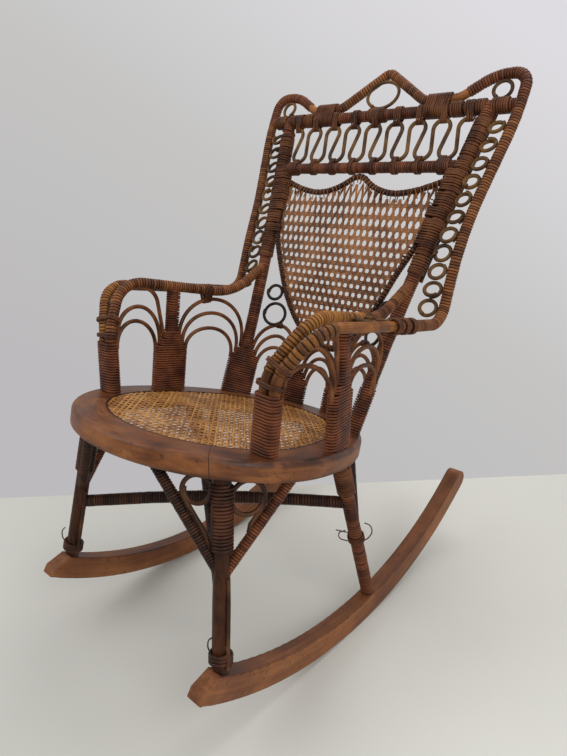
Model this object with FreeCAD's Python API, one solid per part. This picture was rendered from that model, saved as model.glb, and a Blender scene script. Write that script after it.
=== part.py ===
import FreeCAD, Part
import math
import os

from FreeCAD import Vector

# Wicker rocking chair. Millimetres and degrees, +Z up. The sitter faces -Y and x = 0 is the middle plane.
# The origin lies on the floor, midway between the ends of the rockers. Left is the sitter's left, at +X.

# Stance of the seat and the back
seat_height = 419.0
seat_setback = 135.0
seat_tilt = 13.4
back_recline = 25.9
back_foot_y = 176.0

# Egg-shaped seat rim, measured in the seat plane
seat_half_width = 250.0
seat_wide_y = -40.0
seat_front_reach = 226.0
seat_rear_reach = 310.0
rim_thickness = 33.0
rim_width = 62.0
rim_top_round = 9.0
rim_bottom_round = 6.0
plug_diameter = 12.0
plug_depth = 12.0
plug_drop = 16.0
plug_bearing = 27.0

# Cane seat panel, let into a rebate of the rim and held by a spline
cane_thickness = 3.0
cane_ledge = 8.0
spline_width = 4.0
spline_depth = 7.0
seat_cane_pitch = 21.0
seat_cane_hole = 11.0
seat_cane_border = 12.0

# Rockers
rocker_radius = 703.0
rocker_centre_y = -14.0
rocker_gauge = 424.0
rocker_width = 32.0
rocker_depth = 42.0
rocker_half_length = 411.0
rocker_nose_cut = 34.0
rocker_nose_height = 15.0
rocker_edge_round = 3.0
rocker_flat_depth = 0.6

# Legs and their windings
leg_diameter = 25.0
leg_tenon_diameter = 16.0
leg_tenon_length = 18.0
front_leg_top_x = 172.0
front_leg_top_y = -165.0
front_leg_foot_y = -358.0
rear_leg_top_x = 197.0
rear_leg_top_y = 89.0
rear_leg_foot_y = 34.0
leg_winding_pitch = 5.2
leg_winding_cane = 4.6
leg_winding_gap = 13.0
front_leg_turns = 14
rear_leg_turns = 12

# Braces, stretchers and the trim under the seat
brace_diameter = 17.0
brace_height = 278.0
rear_brace_height = 190.0
front_brace_x = 86.0
front_brace_y = -222.0
side_brace_x = 221.0
side_brace_y = -66.0
rear_brace_x = 184.0
rear_brace_y = 141.0
splint_diameter = 6.0
splint_foot_gap = 28.0
splint_head_height = 246.0
collar_cane = 6.0
collar_height = 13.0
stretcher_diameter = 22.0
stretcher_front_height = 252.0
stretcher_rear_height = 270.0
stretcher_bow = 16.0
scroll_cane = 7.5
front_scroll_radius = 18.0
side_scroll_radius = 21.0
scroll_tail = 44.0

# Arm rods, which also make the front posts
rod_diameter = 19.0
rod_socket_depth = 16.0
front_post_x = 199.0
front_post_y = -115.0
front_post_lean_x = 6.0
front_post_lean_y = 9.0
front_post_rise = 119.0
knee_run = 50.0
inner_shoulder_x = 232.0
inner_shoulder_y = -181.0
inner_shoulder_z = 644.0
arm_low_x = 186.0
arm_low_y = 64.0
arm_low_z = 591.0
arm_join_v = 292.0
outer_shoulder_x = 263.0
outer_shoulder_y = -196.0
outer_shoulder_z = 635.0
arm_wide_x = 264.0
arm_wide_y = 73.0
arm_wide_z = 590.0
arm_outer_x = 260.0
arm_corner_y = 152.0
arm_corner_z = 578.0
front_post_cane = 4.4
front_post_pitch = 4.9
front_post_turns = 18
tie_cane = 4.0
tie_pitch = 4.5
tie_turns = 2
front_tie_heights = [106.0, 132.0]

# Back frame: u outwards from the middle, v up the slope of the back from the seat
back_post_diameter = 24.0
post_foot_u = 158.0
post_bend_u = 172.0
post_bend_v = 170.0
post_waist_u = 203.0
post_waist_v = 410.0
post_top_u = 240.0
rail_diameter = 22.0
top_rail_v = 635.0
second_rail_v = 521.0
bow_start_v = 350.0
bow_waist_u = 264.0
bow_waist_v = 435.0
bow_shoulder_u = 294.0
bow_shoulder_v = 612.0
bow_top_v = 696.0
bow_inner_u = 234.0
crest_dip_u = 172.0
crest_joint_u = 137.0
crest_foot_u = 102.0
crest_peak_v = 728.5
crest_tip_run = 27.0
crest_wrap_turns = 11

# Reed ornament of the back
reed_diameter = 8.0
serpentine_loops = 8
serpentine_loop_radius = 17.0
chain_cane = 6.5
chain_pitch = 34.0
chain_lean = 16.0
ornament_slack = 0.7
wing_rings = 9
wing_ring_first_v = 322.0
arm_rings = 4
arm_ring_first_y = -60.0
spine_diameter = 7.0
spine_foot_v = 300.0
lower_ring_radius = 25.0
lower_ring_v = 194.0
small_ring_radius = 18.5
small_ring_v = 237.0
ornament_ring_cane = 6.5
corner_ring_u = 254.0

# Shield of the back, swept rearwards below its bend line
shield_bend_v = 370.0
shield_bend_radius = 445.0
shield_tip_v = 138.0
shield_hip_u = 152.0
shield_hip_v = 315.0
shield_flank_u = 112.0
shield_flank_v = 228.0
shield_toe_u = 66.0
shield_toe_v = 168.0
shield_frame_diameter = 12.0
shield_corner_v = 494.0
shield_wave_u = 148.0
shield_wave_v = 474.0
shield_dip_u = 92.0
shield_dip_v = 464.0
shield_rise_u = 40.0
shield_rise_v = 478.0
shield_peak_v = 510.0
shield_post_gap = 1.5
shield_cane_thickness = 3.0
shield_row_pitch = 20.5
shield_column_pitch = 15.0
shield_hole_width = 6.0
shield_hole_height = 12.0
shield_border = 13.0

# Palmettes: stepped fans of reeds that stand on the rim, each wound with cane
palmette_thickness = 22.0
palmette_cane = 4.0
palmette_pitch = 4.8
palmette_steps = 2
palmette_step_turns = 3
palmette_pin_diameter = 8.0
mid_palmette_width = 66.0
mid_palmette_turns = 24
back_palmette_width = 68.0
back_palmette_turns = 22
rear_palmette_width = 60.0
rear_palmette_turns = 16
mid_post_diameter = 19.0
mid_post_x = 221.0
mid_post_y = 38.0
mid_post_top_y = -74.0
rear_post_x = 54.0
rear_post_y = 245.0
rear_post_lean = 18.0

# Arches of the arcade: height of the crowns above the rim, lowest arch first
front_arch_crowns = [138.0, 168.0]
side_arch_crowns = [132.0, 166.0, 197.0]
rear_arch_crowns = [112.0, 138.0, 162.0]
centre_arch_crowns = [86.0, 106.0, 126.0]
arch_sides = 8
quarter_arch_y = -172.0
quarter_arch_knee_y = -112.0
quarter_arch_knee_z = 620.0

clearance = 0.3

out = Vector(1, 0, 0)
upward = Vector(0, 0, 1)
tilt = math.radians(seat_tilt)
recline = math.radians(back_recline)
seat_normal = Vector(0, math.sin(tilt), math.cos(tilt))
seat_rearward = Vector(0, math.cos(tilt), -math.sin(tilt))
back_upward = Vector(0, math.sin(recline), math.cos(recline))
back_rearward = Vector(0, math.cos(recline), -math.sin(recline))
rod_spacing = rod_diameter + 2 * clearance
crest_dip_v = top_rail_v + (rail_diameter + rod_diameter) / 2 + clearance
rocker_axis_z = rocker_radius - rocker_flat_depth
palmette_step = 2 * reed_diameter
palmette_core = palmette_thickness - 2 * (palmette_cane + clearance)
least_gaps = []


# Geometry

def seat_point(x, y, h=0.0):
    """A point given in the seat plane, h above it."""
    return Vector(x, -seat_setback, seat_height) + seat_rearward * y + seat_normal * h


def back_point(u, v, w=0.0):
    """A point of the back: u sideways, v up the slope, w behind it."""
    return seat_point(0, back_foot_y) + out * u + back_upward * v + back_rearward * w


def height_on_back(point):
    return (point - seat_point(0, back_foot_y)).dot(back_upward)


def between(start, end, share):
    return start + (end - start) * share


def unit(vector):
    return vector * (1.0 / vector.Length)


def square_to(vector, axis):
    """The direction of a vector, made square to an axis."""
    return unit(vector - axis * vector.dot(axis))


def mirrored(shape):
    return shape.mirror(Vector(0, 0, 0), out)


def flipped(point):
    return Vector(-point.x, point.y, point.z)


def both_sides(shapes):
    """One group of the shapes and their mirror images."""
    return Part.makeCompound(shapes + [mirrored(shape) for shape in shapes])


def trimmed(shape, neighbours):
    """The largest piece of a shape that is left outside its neighbours."""
    for neighbour in neighbours:
        if shape.BoundBox.intersect(neighbour.BoundBox):
            shape = shape.cut(neighbour)
    return max(shape.Solids, key=lambda solid: solid.Volume)


def round_bar(start, end, diameter):
    run = end - start
    return Part.makeCylinder(diameter / 2, run.Length, start, run)


def rounded_path(points, share=0.46):
    """Straight runs through the points, joined by tangent arcs."""
    edges = []
    run_start = points[0]
    for before, corner, after in zip(points, points[1:], points[2:]):
        back = unit(before - corner)
        ahead = unit(after - corner)
        half_turn = (math.pi - back.getAngle(ahead)) / 2
        if half_turn < 0.001:
            continue
        reach = share * min((before - corner).Length, (after - corner).Length)
        radius = reach / math.tan(half_turn)
        rise = radius / math.cos(half_turn) - radius
        arc_start = corner + back * reach
        arc_end = corner + ahead * reach
        edges.append(Part.LineSegment(run_start, arc_start).toShape())
        edges.append(Part.Arc(arc_start, corner + unit(back + ahead) * rise, arc_end).toShape())
        run_start = arc_end
    edges.append(Part.LineSegment(run_start, points[-1]).toShape())
    return Part.Wire(edges)


def swept(path, start, heading, diameter):
    """A round rod along a path that starts at a point with a heading."""
    section = Part.Wire([Part.makeCircle(diameter / 2, start, heading)])
    return path.makePipeShell([section], True, False)


def bent_rod(points, diameter):
    return swept(rounded_path(points), points[0], points[1] - points[0], diameter)


def nearest_on(points, measure, value):
    """The point of a rod's middle line whose measure comes nearest to a value."""
    path = rounded_path(points).discretize(Number=600)
    return min(path, key=lambda point: abs(measure(point) - value))


def leaving_arc(start, heading, end):
    """The middle of the arc that leaves a point along a heading."""
    chord = end - start
    sagitta = chord.Length / 2 * math.tan(heading.getAngle(chord) / 2)
    return between(start, end, 0.5) + square_to(heading, unit(chord)) * sagitta


def biarc(start, start_heading, end, end_heading):
    """Two tangent arcs, or one line, from a point and heading to the next."""
    chord = end - start
    if max(start_heading.getAngle(chord), end_heading.getAngle(chord)) < 0.0005:
        return [Part.LineSegment(start, end).toShape()]
    along = chord.dot(start_heading + end_heading)
    turn = 2 * (1 - start_heading.dot(end_heading))
    reach = (math.sqrt(along * along + turn * chord.dot(chord)) - along) / turn
    middle = (start + end + (start_heading - end_heading) * reach) * 0.5
    first = Part.Arc(start, leaving_arc(start, start_heading, middle), middle)
    second = Part.Arc(middle, leaving_arc(end, end_heading * -1, middle), end)
    return [first.toShape(), second.toShape()]


def turn_stations(spread, radius):
    """Places, headings and run lengths of one turn round two posts that stand apart."""
    half = spread / 2
    bend = math.pi * radius / 2
    if not spread:
        return [(0, -radius, 1, 0, bend), (radius, 0, 0, 1, bend),
                (0, radius, -1, 0, bend), (-radius, 0, 0, -1, bend)]
    return [(-half, -radius, 1, 0, spread), (half, -radius, 1, 0, bend), (half + radius, 0, 0, 1, bend),
            (half, radius, -1, 0, spread), (-half, radius, -1, 0, bend), (-half - radius, 0, 0, -1, bend)]


def least_gap(path, turns, cane):
    """Least distance between neighbouring turns, measured on points of the path."""
    count = 24
    points = path.discretize(Number=turns * count)
    near = range(count * 2 // 3, count * 4 // 3)
    pairs = [(index, index + step) for index in range(len(points)) for step in near]
    return min((points[i] - points[j]).Length for i, j in pairs if j < len(points)) - cane


def winding(foot, axis, across, spreads, radius, pitch, cane):
    """One unbroken cane wound round a bundle, with one spread of the bundle for each turn."""
    across = square_to(across, axis)
    depth = axis.cross(across)
    places = []
    height = 0.0
    for spread in spreads:
        stations = turn_stations(spread, radius)
        slope = pitch / sum(station[4] for station in stations)
        for a, d, heading_a, heading_d, run in stations:
            place = foot + across * a + depth * d + axis * height
            places.append((place, unit(across * heading_a + depth * heading_d + axis * slope)))
            height += slope * run
    edges = []
    for (start, start_heading), (end, end_heading) in zip(places, places[1:]):
        edges.extend(biarc(start, start_heading, end, end_heading))
    path = Part.Wire(edges)
    least_gaps.append(least_gap(path, len(spreads), cane))
    return swept(path, places[0][0], places[0][1], cane)


def ring(centre, normal, outer_radius, cane):
    return Part.makeTorus(outer_radius - cane / 2, cane / 2, centre, normal)


# Seat

def on_seat(shape):
    """A shape drawn with the seat plane as XY, moved to its place."""
    shape.rotate(Vector(0, 0, 0), out, -seat_tilt)
    shape.translate(Vector(0, -seat_setback, seat_height))
    return shape


def half_ellipse(half_width, reach):
    circle = Part.Arc(Vector(1, 0, 0), Vector(0, 1, 0), Vector(-1, 0, 0)).toShape()
    stretch = FreeCAD.Matrix(half_width, 0, 0, 0, 0, reach, 0, seat_wide_y, 0, 0, 1, 0, 0, 0, 0, 1)
    return circle.transformGeometry(stretch)


def egg_slab(inset, depth):
    """A slab under the seat plane with the seat's outline, drawn in by an inset."""
    half_width = seat_half_width - inset
    rear = half_ellipse(half_width, seat_rear_reach - inset)
    front = half_ellipse(half_width, inset - seat_front_reach)
    return Part.Face(Part.Wire([rear, front])).extrude(Vector(0, 0, -depth))


def inside_egg(x, y, inset):
    reach = seat_rear_reach if y > seat_wide_y else seat_front_reach
    return math.hypot(x / (seat_half_width - inset), (y - seat_wide_y) / (reach - inset)) < 1


def rim_direction(x, y):
    """Direction of the rim beside a point of the seat plane."""
    reach = seat_rear_reach if y > seat_wide_y else seat_front_reach
    slope = (y - seat_wide_y) / reach ** 2
    return unit(seat_rearward * (x / seat_half_width ** 2) - out * slope)


def spline_ring(slack):
    outer = rim_width - cane_ledge + slack
    inner = rim_width - cane_ledge + spline_width - slack
    return egg_slab(outer, spline_depth - slack).cut(egg_slab(inner, spline_depth))


def seat_rim_blank():
    rim = egg_slab(0, rim_thickness)
    top_edges = [edge for edge in rim.Edges if edge.BoundBox.ZMin > -0.01]
    rim = rim.makeFillet(rim_top_round, top_edges)
    low_edges = [edge for edge in rim.Edges if edge.BoundBox.ZMax < 0.01 - rim_thickness]
    rim = rim.makeFillet(rim_bottom_round, low_edges)
    rim = rim.cut(egg_slab(rim_width, rim_thickness))
    rim = rim.cut(egg_slab(rim_width - cane_ledge, cane_thickness))
    return on_seat(rim.cut(spline_ring(0.0)))


def seat_cane():
    """Holed cane panel of the seat."""
    edge_inset = rim_width - cane_ledge + spline_width + clearance
    hole_inset = edge_inset + seat_cane_border
    panel = egg_slab(edge_inset, cane_thickness)
    outline = max(panel.Faces, key=lambda face: face.CenterOfMass.z).OuterWire
    holes = []
    rows = int((seat_front_reach + seat_rear_reach) / seat_cane_pitch)
    columns = int(seat_half_width / seat_cane_pitch)
    for row in range(rows):
        y = seat_wide_y - seat_front_reach + row * seat_cane_pitch
        for column in range(-columns, columns + 1):
            x = column * seat_cane_pitch
            if inside_egg(x, y, hole_inset):
                holes.append(Part.Wire([Part.makeCircle(seat_cane_hole / 2, Vector(x, y, 0))]))
    net = Part.makeFace([outline] + holes, "Part::FaceMakerBullseye")
    print("seat cane holes", len(holes))
    return on_seat(net.extrude(Vector(0, 0, -cane_thickness)))


def plug_bar(slack):
    """The plug in the rim's outer edge, below the left front post."""
    bearing = math.radians(plug_bearing)
    x = seat_half_width * math.cos(bearing)
    y = seat_wide_y - seat_front_reach * math.sin(bearing)
    inwards = seat_normal.cross(rim_direction(x, y))
    face = seat_point(x, y, -plug_drop)
    return round_bar(face - inwards * plug_depth, face + inwards * (plug_depth + slack),
                     plug_diameter + 2 * slack)


# Rockers and legs

def rocker_point(y, radius):
    offset = y - rocker_centre_y
    return Vector(0, y, rocker_axis_z - math.sqrt(radius ** 2 - offset ** 2))


def rocker_blank():
    """The left rocker, bent to a circle, with a bevelled nose, a round tail and a flat worn under it."""
    top_radius = rocker_radius - rocker_depth
    axis = Vector(0, rocker_centre_y, rocker_axis_z)
    nose = rocker_point(-rocker_half_length, rocker_radius)
    nose_top = nose + unit(axis - nose) * rocker_nose_height
    bevel_top = rocker_point(nose_top.y + rocker_nose_cut, top_radius)
    half_depth = rocker_depth / 2
    mid_radius = rocker_radius - half_depth
    bearing = math.asin((rocker_half_length - rocker_centre_y - half_depth) / mid_radius)
    inwards = Vector(0, -math.sin(bearing), math.cos(bearing))
    tail_low = axis - inwards * rocker_radius
    tail_end = tail_low + (inwards + inwards.cross(out)) * half_depth
    tail_top = tail_low + inwards * rocker_depth
    low = rocker_point(rocker_centre_y, rocker_radius)
    high = rocker_point(rocker_centre_y, top_radius)
    outline = [Part.Arc(nose, low, tail_low), Part.Arc(tail_low, tail_end, tail_top),
               Part.Arc(tail_top, high, bevel_top), Part.LineSegment(bevel_top, nose_top),
               Part.LineSegment(nose_top, nose)]
    face = Part.Face(Part.Wire([curve.toShape() for curve in outline]))
    rocker = face.extrude(out * rocker_width)
    sides = [edge for edge in rocker.Edges if edge.BoundBox.XLength < 0.01]
    rocker = rocker.makeFillet(rocker_edge_round, sides)
    rocker.translate(out * (rocker_gauge - rocker_width) * 0.5)
    below = Part.makeBox(rocker_gauge, 2 * rocker_radius, rocker_radius,
                         Vector(0, -rocker_radius, -rocker_radius))
    return rocker.cut(below)


def leg_line(top_x, top_y, foot_y):
    """Foot on the rocker and head under the rim of a left leg."""
    foot = rocker_point(foot_y, rocker_radius - rocker_depth) + out * (rocker_gauge / 2)
    return foot, seat_point(top_x, top_y, -rim_thickness)


def at_height(line, z):
    foot, head = line
    return between(foot, head, (z - foot.z) / (head.z - foot.z))


def leg_tenon(line, slack):
    foot, head = line
    reach = unit(head - foot) * (leg_tenon_length + slack)
    return round_bar(foot - reach, head + reach, leg_tenon_diameter + 2 * slack)


def leg(line, rim_blank, rocker):
    """A leg whose shoulders bear on the rocker and the rim."""
    foot, head = line
    reach = unit(head - foot) * (leg_tenon_length / 2)
    shank = trimmed(round_bar(foot - reach, head + reach, leg_diameter), [rim_blank, rocker])
    return shank.fuse(leg_tenon(line, 0.0)).removeSplitter()


def leg_winding(line, turns):
    foot, head = line
    axis = unit(head - foot)
    radius = (leg_diameter + leg_winding_cane) / 2 + clearance
    start = head - axis * (turns * leg_winding_pitch + leg_winding_gap)
    return winding(start, axis, out, [0] * turns, radius, leg_winding_pitch, leg_winding_cane)


def brace_line(line, height, top_x, top_y):
    return at_height(line, height), seat_point(top_x, top_y, -rim_thickness)


def brace(line, neighbours):
    foot, head = line
    reach = unit(head - foot) * rim_bottom_round
    return trimmed(round_bar(foot, head + reach, brace_diameter), neighbours)


def scroll(brace_ends, leg_ends, radius):
    """A reed that lies along a brace and curls into a ring under the rim, on the side of the leg."""
    foot, head = brace_ends
    along = unit(foot - head)
    inwards = square_to(leg_ends[1] - head, along)
    lie = (brace_diameter + scroll_cane) / 2 + clearance
    reach = lie + radius
    room = radius + scroll_cane / 2 + clearance
    drop = (room + reach * inwards.dot(seat_normal)) / -along.dot(seat_normal)
    centre = head + along * drop + inwards * reach
    touch = centre - inwards * radius
    tail = touch + along * scroll_tail
    far = centre + inwards * radius
    top = centre - along * radius
    first = Part.Arc(touch, centre + unit(inwards * -1 - along) * radius, top).toShape()
    second = Part.Arc(top, far, centre + unit(inwards + along) * radius).toShape()
    path = Part.Wire([Part.LineSegment(tail, touch).toShape(), first, second])
    return swept(path, tail, touch - tail, scroll_cane)


def splint(line, direction):
    """A thin rod bound to the bare part of a leg."""
    foot, head = line
    axis = unit(head - foot)
    side = square_to(direction, axis) * ((leg_diameter + splint_diameter) / 2 + clearance)
    return round_bar(foot + axis * splint_foot_gap + side, at_height(line, splint_head_height) + side,
                     splint_diameter)


def collars(line):
    """Two rings of cane round the foot of a leg."""
    foot, head = line
    axis = unit(head - foot)
    outer_radius = leg_diameter / 2 + clearance + collar_cane
    heights = [collar_height, collar_height + collar_cane + clearance]
    return [ring(foot + axis * height, axis, outer_radius, collar_cane) for height in heights]


def stretcher(front_line, rear_line, bow, legs):
    """A rod from a left front leg to the right rear leg, bowed up or down at its middle."""
    start = at_height(front_line, stretcher_front_height)
    end = flipped(at_height(rear_line, stretcher_rear_height))
    return trimmed(bent_rod([start, between(start, end, 0.5) + upward * bow, end], stretcher_diameter), legs)


# Arms and back frame

def front_post_line():
    """Foot and knee of the left front post."""
    foot = seat_point(front_post_x, front_post_y)
    return foot, foot + Vector(front_post_lean_x, front_post_lean_y, front_post_rise)


def front_post_rod(side):
    """Socket, last straight point and knee of one of the two rods of the left front post."""
    foot, knee = front_post_line()
    axis = unit(knee - foot)
    shift = out * (side * rod_spacing / 2)
    return [foot + shift - axis * rod_socket_depth, knee + shift - axis * knee_run, knee + shift]


def post_points():
    """The bow's points as far as the wing, where the rod still belongs to the front post and the arm."""
    return front_post_rod(1) + [Vector(outer_shoulder_x, outer_shoulder_y, outer_shoulder_z),
                                Vector(arm_wide_x, arm_wide_y, arm_wide_z)]


def wing_points():
    """The bow's points from the arm's rear corner on, up the wing and round its scroll."""
    return [Vector(arm_outer_x, arm_corner_y, arm_corner_z),
            back_point(arm_outer_x, bow_start_v),
            back_point(bow_waist_u, bow_waist_v),
            back_point(bow_shoulder_u, bow_shoulder_v),
            back_point(bow_shoulder_u, bow_top_v),
            back_point(bow_inner_u, bow_top_v),
            back_point(crest_dip_u, crest_dip_v),
            back_point(crest_joint_u + clearance / 2, crest_dip_v)]


def outer_bow_points():
    """The rod that makes the front post, the outer arm, the wing and its scroll."""
    return post_points() + wing_points()


def arm_rod_points():
    """The inner rod of the front post and the arm, which ends at the back post."""
    return front_post_rod(-1) + [Vector(inner_shoulder_x, inner_shoulder_y, inner_shoulder_z),
                                 Vector(arm_low_x, arm_low_y, arm_low_z),
                                 back_point(post_u(arm_join_v), arm_join_v)]


def on_arm(y):
    """The point of the left inner arm rod at a place from front to rear."""
    return nearest_on(arm_rod_points()[2:], lambda point: point.y, y)


def front_tie_places():
    """Middles of the two rods and direction of the left front post at each of its ties."""
    foot, knee = front_post_line()
    inner = arm_rod_points()[:4]
    outer = post_points()[:4]
    places = []
    for height in front_tie_heights:
        level = foot.z + height
        first = nearest_on(inner, lambda point: point.z, level)
        second = nearest_on(outer, lambda point: point.z, level)
        ahead = nearest_on(inner, lambda point: point.z, level + tie_turns * tie_pitch)
        places.append((first, second, unit(ahead - first)))
    return places


def back_post_points():
    foot = back_point(post_foot_u, 0)
    bend = back_point(post_bend_u, post_bend_v)
    waist = back_point(post_waist_u, post_waist_v)
    return [foot, bend, waist, back_point(post_top_u, top_rail_v)]


def post_u(v):
    """Half distance between the back posts at a height."""
    if v < post_waist_v:
        share = (v - post_bend_v) / (post_waist_v - post_bend_v)
        return post_bend_u + (post_waist_u - post_bend_u) * share
    share = (v - post_waist_v) / (top_rail_v - post_waist_v)
    return post_waist_u + (post_top_u - post_waist_u) * share


def crest_points():
    """The crest's rod, with a point near its peak on each slope that keeps the peak sharp."""
    end = back_point(crest_joint_u - clearance / 2, crest_dip_v)
    foot = back_point(crest_foot_u, crest_dip_v)
    peak = back_point(0, crest_peak_v)
    tip = peak + unit(foot - peak) * crest_tip_run
    return [end, foot, tip, peak, flipped(tip), flipped(foot), flipped(end)]


def rail(v, half_width, neighbours):
    bar = round_bar(back_point(-half_width, v), back_point(half_width, v), rail_diameter)
    return trimmed(bar, neighbours)


def bundle_winding(first, second, axis, radius, turns):
    """A binding round two rods, centred on the line between them."""
    start = between(first, second, 0.5) - axis * (turns * tie_pitch / 2)
    spread = (second - first).Length
    wrap_radius = radius + clearance + tie_cane / 2
    return winding(start, axis, second - first, [spread] * turns, wrap_radius, tie_pitch, tie_cane)


# Reed ornament

def loop_arc(centre, radius, start, end):
    """An arc of the back's plane between two bearings, through their mean."""
    bearings = [start, (start + end) / 2, end]
    return Part.Arc(*[back_point(centre[0] + radius * math.cos(b), centre[1] + radius * math.sin(b))
                      for b in bearings]).toShape()


def serpentine():
    """A reed that swings between the two rails in keyhole loops."""
    radius = serpentine_loop_radius
    gap = (rail_diameter + reed_diameter) / 2 + clearance
    high = top_rail_v - gap - tie_cane - clearance - radius
    low = second_rail_v + gap + radius
    half_run = post_u(low) - back_post_diameter / 2 - reed_diameter
    pitch = 2 * half_run / serpentine_loops
    slant = math.asin(2 * radius / math.hypot(pitch / 2, high - low))
    leave = math.atan2(low - high, pitch / 2) - slant + math.pi / 2
    edges = [loop_arc((-half_run, high), radius, math.pi / 2, leave)]
    for loop in range(serpentine_loops):
        last = math.pi / 2 if loop == serpentine_loops - 1 else leave
        down = loop_arc(((loop + 0.5) * pitch - half_run, low), radius, leave - math.pi, -leave)
        up = loop_arc(((loop + 1) * pitch - half_run, high), radius, math.pi - leave, last)
        fall = Part.LineSegment(edges[-1].valueAt(edges[-1].LastParameter), down.valueAt(down.FirstParameter))
        climb = Part.LineSegment(down.valueAt(down.LastParameter), up.valueAt(up.FirstParameter))
        edges.extend([fall.toShape(), down, climb.toShape(), up])
    start = back_point(-half_run, high + radius)
    return swept(Part.Wire(edges), start, out, reed_diameter)


def chain(first, first_diameter, second, second_diameter, measure, values):
    """Rings that fill the gap between two rods, each leaning a little over the next."""
    lean = math.radians(chain_lean)
    rings = []
    for value in values:
        here = nearest_on(first, measure, value)
        there = nearest_on(second, measure, value)
        across = unit(there - here)
        near_edge = here + across * (first_diameter / 2)
        far_edge = there - across * (second_diameter / 2)
        ahead = nearest_on(first, measure, value + chain_pitch / 2) - here
        along = square_to(ahead, across)
        normal = across.cross(along) * math.cos(lean) + along * math.sin(lean)
        radius = (far_edge - near_edge).Length / 2 - ornament_slack
        rings.append(ring(between(near_edge, far_edge, 0.5), normal, radius, chain_cane))
    return rings


def wing_chain():
    """The rings of the left wing, then those of the left arm."""
    wing_values = [wing_ring_first_v + index * chain_pitch for index in range(wing_rings)]
    arm_values = [arm_ring_first_y + index * chain_pitch for index in range(arm_rings)]
    wing = chain(back_post_points(), back_post_diameter, post_points()[-1:] + wing_points(), rod_diameter,
                 height_on_back, wing_values)
    arm = chain(arm_rod_points()[2:], rod_diameter, post_points()[2:] + wing_points()[:2], rod_diameter,
                lambda point: point.y, arm_values)
    return Part.makeCompound(wing + arm)


def wing_spine(top_rail):
    """A thin rod behind the rings, along the outer rear side of the left back post."""
    lie = ((back_post_diameter + spine_diameter) / 2 + ornament_slack) * math.sqrt(0.5)
    points = [back_point(post_u(v) + lie, v, lie) for v in [spine_foot_v, post_waist_v, top_rail_v]]
    return trimmed(bent_rod(points, spine_diameter), [top_rail])


def lower_ring(v, radius):
    """A ring in the bay between the left back post and the shield."""
    post = nearest_on(back_post_points(), height_on_back, v)
    edge = nearest_on(shield_side(True), height_on_back, v)
    across = square_to(edge - post, back_upward)
    centre = post + across * (back_post_diameter / 2 + ornament_slack + radius)
    return ring(centre, across.cross(back_upward), radius, ornament_ring_cane)


def ring_under(points, u):
    """A ring between the top rail and the highest point of a rod over it."""
    top = max(height_on_back(point) for point in rounded_path(points).discretize(Number=600))
    low = top_rail_v + rail_diameter / 2 + clearance
    radius = (top - rod_diameter / 2 - ornament_slack - low) / 2
    return ring(back_point(u, low + radius), back_rearward, radius, ornament_ring_cane)


def crest_ring():
    """A ring that stands on the top rail and touches both slopes of the crest."""
    low = top_rail_v + rail_diameter / 2 + clearance
    slope = math.atan2(crest_peak_v - crest_dip_v, crest_foot_u)
    room = (crest_peak_v - low) * math.cos(slope) - rod_diameter / 2 - ornament_slack
    radius = room / (1 + math.cos(slope))
    return ring(back_point(0, low + radius), back_rearward, radius, ornament_ring_cane)


# Shield of the back

def shield_point(u, v, swept_back):
    """A point of the shield, on its swept surface or on the flat of the back."""
    below = max(0.0, shield_bend_v - v)
    sweep = shield_bend_radius - math.sqrt(shield_bend_radius ** 2 - below ** 2)
    return back_point(u, v, sweep if swept_back else 0.0)


def beside_post(v):
    return post_u(v) - (back_post_diameter + shield_frame_diameter) / 2 - shield_post_gap


def shield_side(swept_back):
    """Middle line of the left side of the shield, from its corner to its tip."""
    places = [(beside_post(shield_corner_v), shield_corner_v), (beside_post(shield_bend_v), shield_bend_v),
              (shield_hip_u, shield_hip_v), (shield_flank_u, shield_flank_v), (shield_toe_u, shield_toe_v),
              (0.0, shield_tip_v)]
    return [shield_point(u, v, swept_back) for u, v in places]


def shield_top():
    """Middle line of the scalloped top of the shield, from corner to corner."""
    places = [(beside_post(shield_corner_v), shield_corner_v), (shield_wave_u, shield_wave_v),
              (shield_dip_u, shield_dip_v), (shield_rise_u, shield_rise_v), (0.0, shield_peak_v)]
    half = [back_point(u, v) for u, v in places]
    return half + [flipped(point) for point in reversed(half[:-1])]


def whole_side(swept_back):
    half = shield_side(swept_back)
    return half + [flipped(point) for point in reversed(half[:-1])]


def shield_holes(face):
    """Tall six-sided openings in rows, kept clear of the shield's frame."""
    holes = []
    rows = int((shield_peak_v - shield_tip_v) / shield_row_pitch)
    columns = int(beside_post(shield_corner_v) / shield_column_pitch)
    half_width = shield_hole_width / 2
    half_height = shield_hole_height / 2
    for row in range(rows):
        v = shield_tip_v + (row + 0.5) * shield_row_pitch
        for column in range(-columns, columns + 1):
            u = (column + 0.5 * (row % 2)) * shield_column_pitch
            centre = Part.Vertex(back_point(u, v))
            inside = face.isInside(centre.Point, clearance, True)
            if inside and face.OuterWire.distToShape(centre)[0] > shield_border:
                corners = [(u, v + half_height), (u + half_width, v + half_height / 2),
                           (u + half_width, v - half_height / 2), (u, v - half_height),
                           (u - half_width, v - half_height / 2), (u - half_width, v + half_height / 2)]
                points = [back_point(*corner) for corner in corners]
                holes.append(Part.makePolygon(points + points[:1]))
    print("shield cane holes", len(holes))
    return holes


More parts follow.
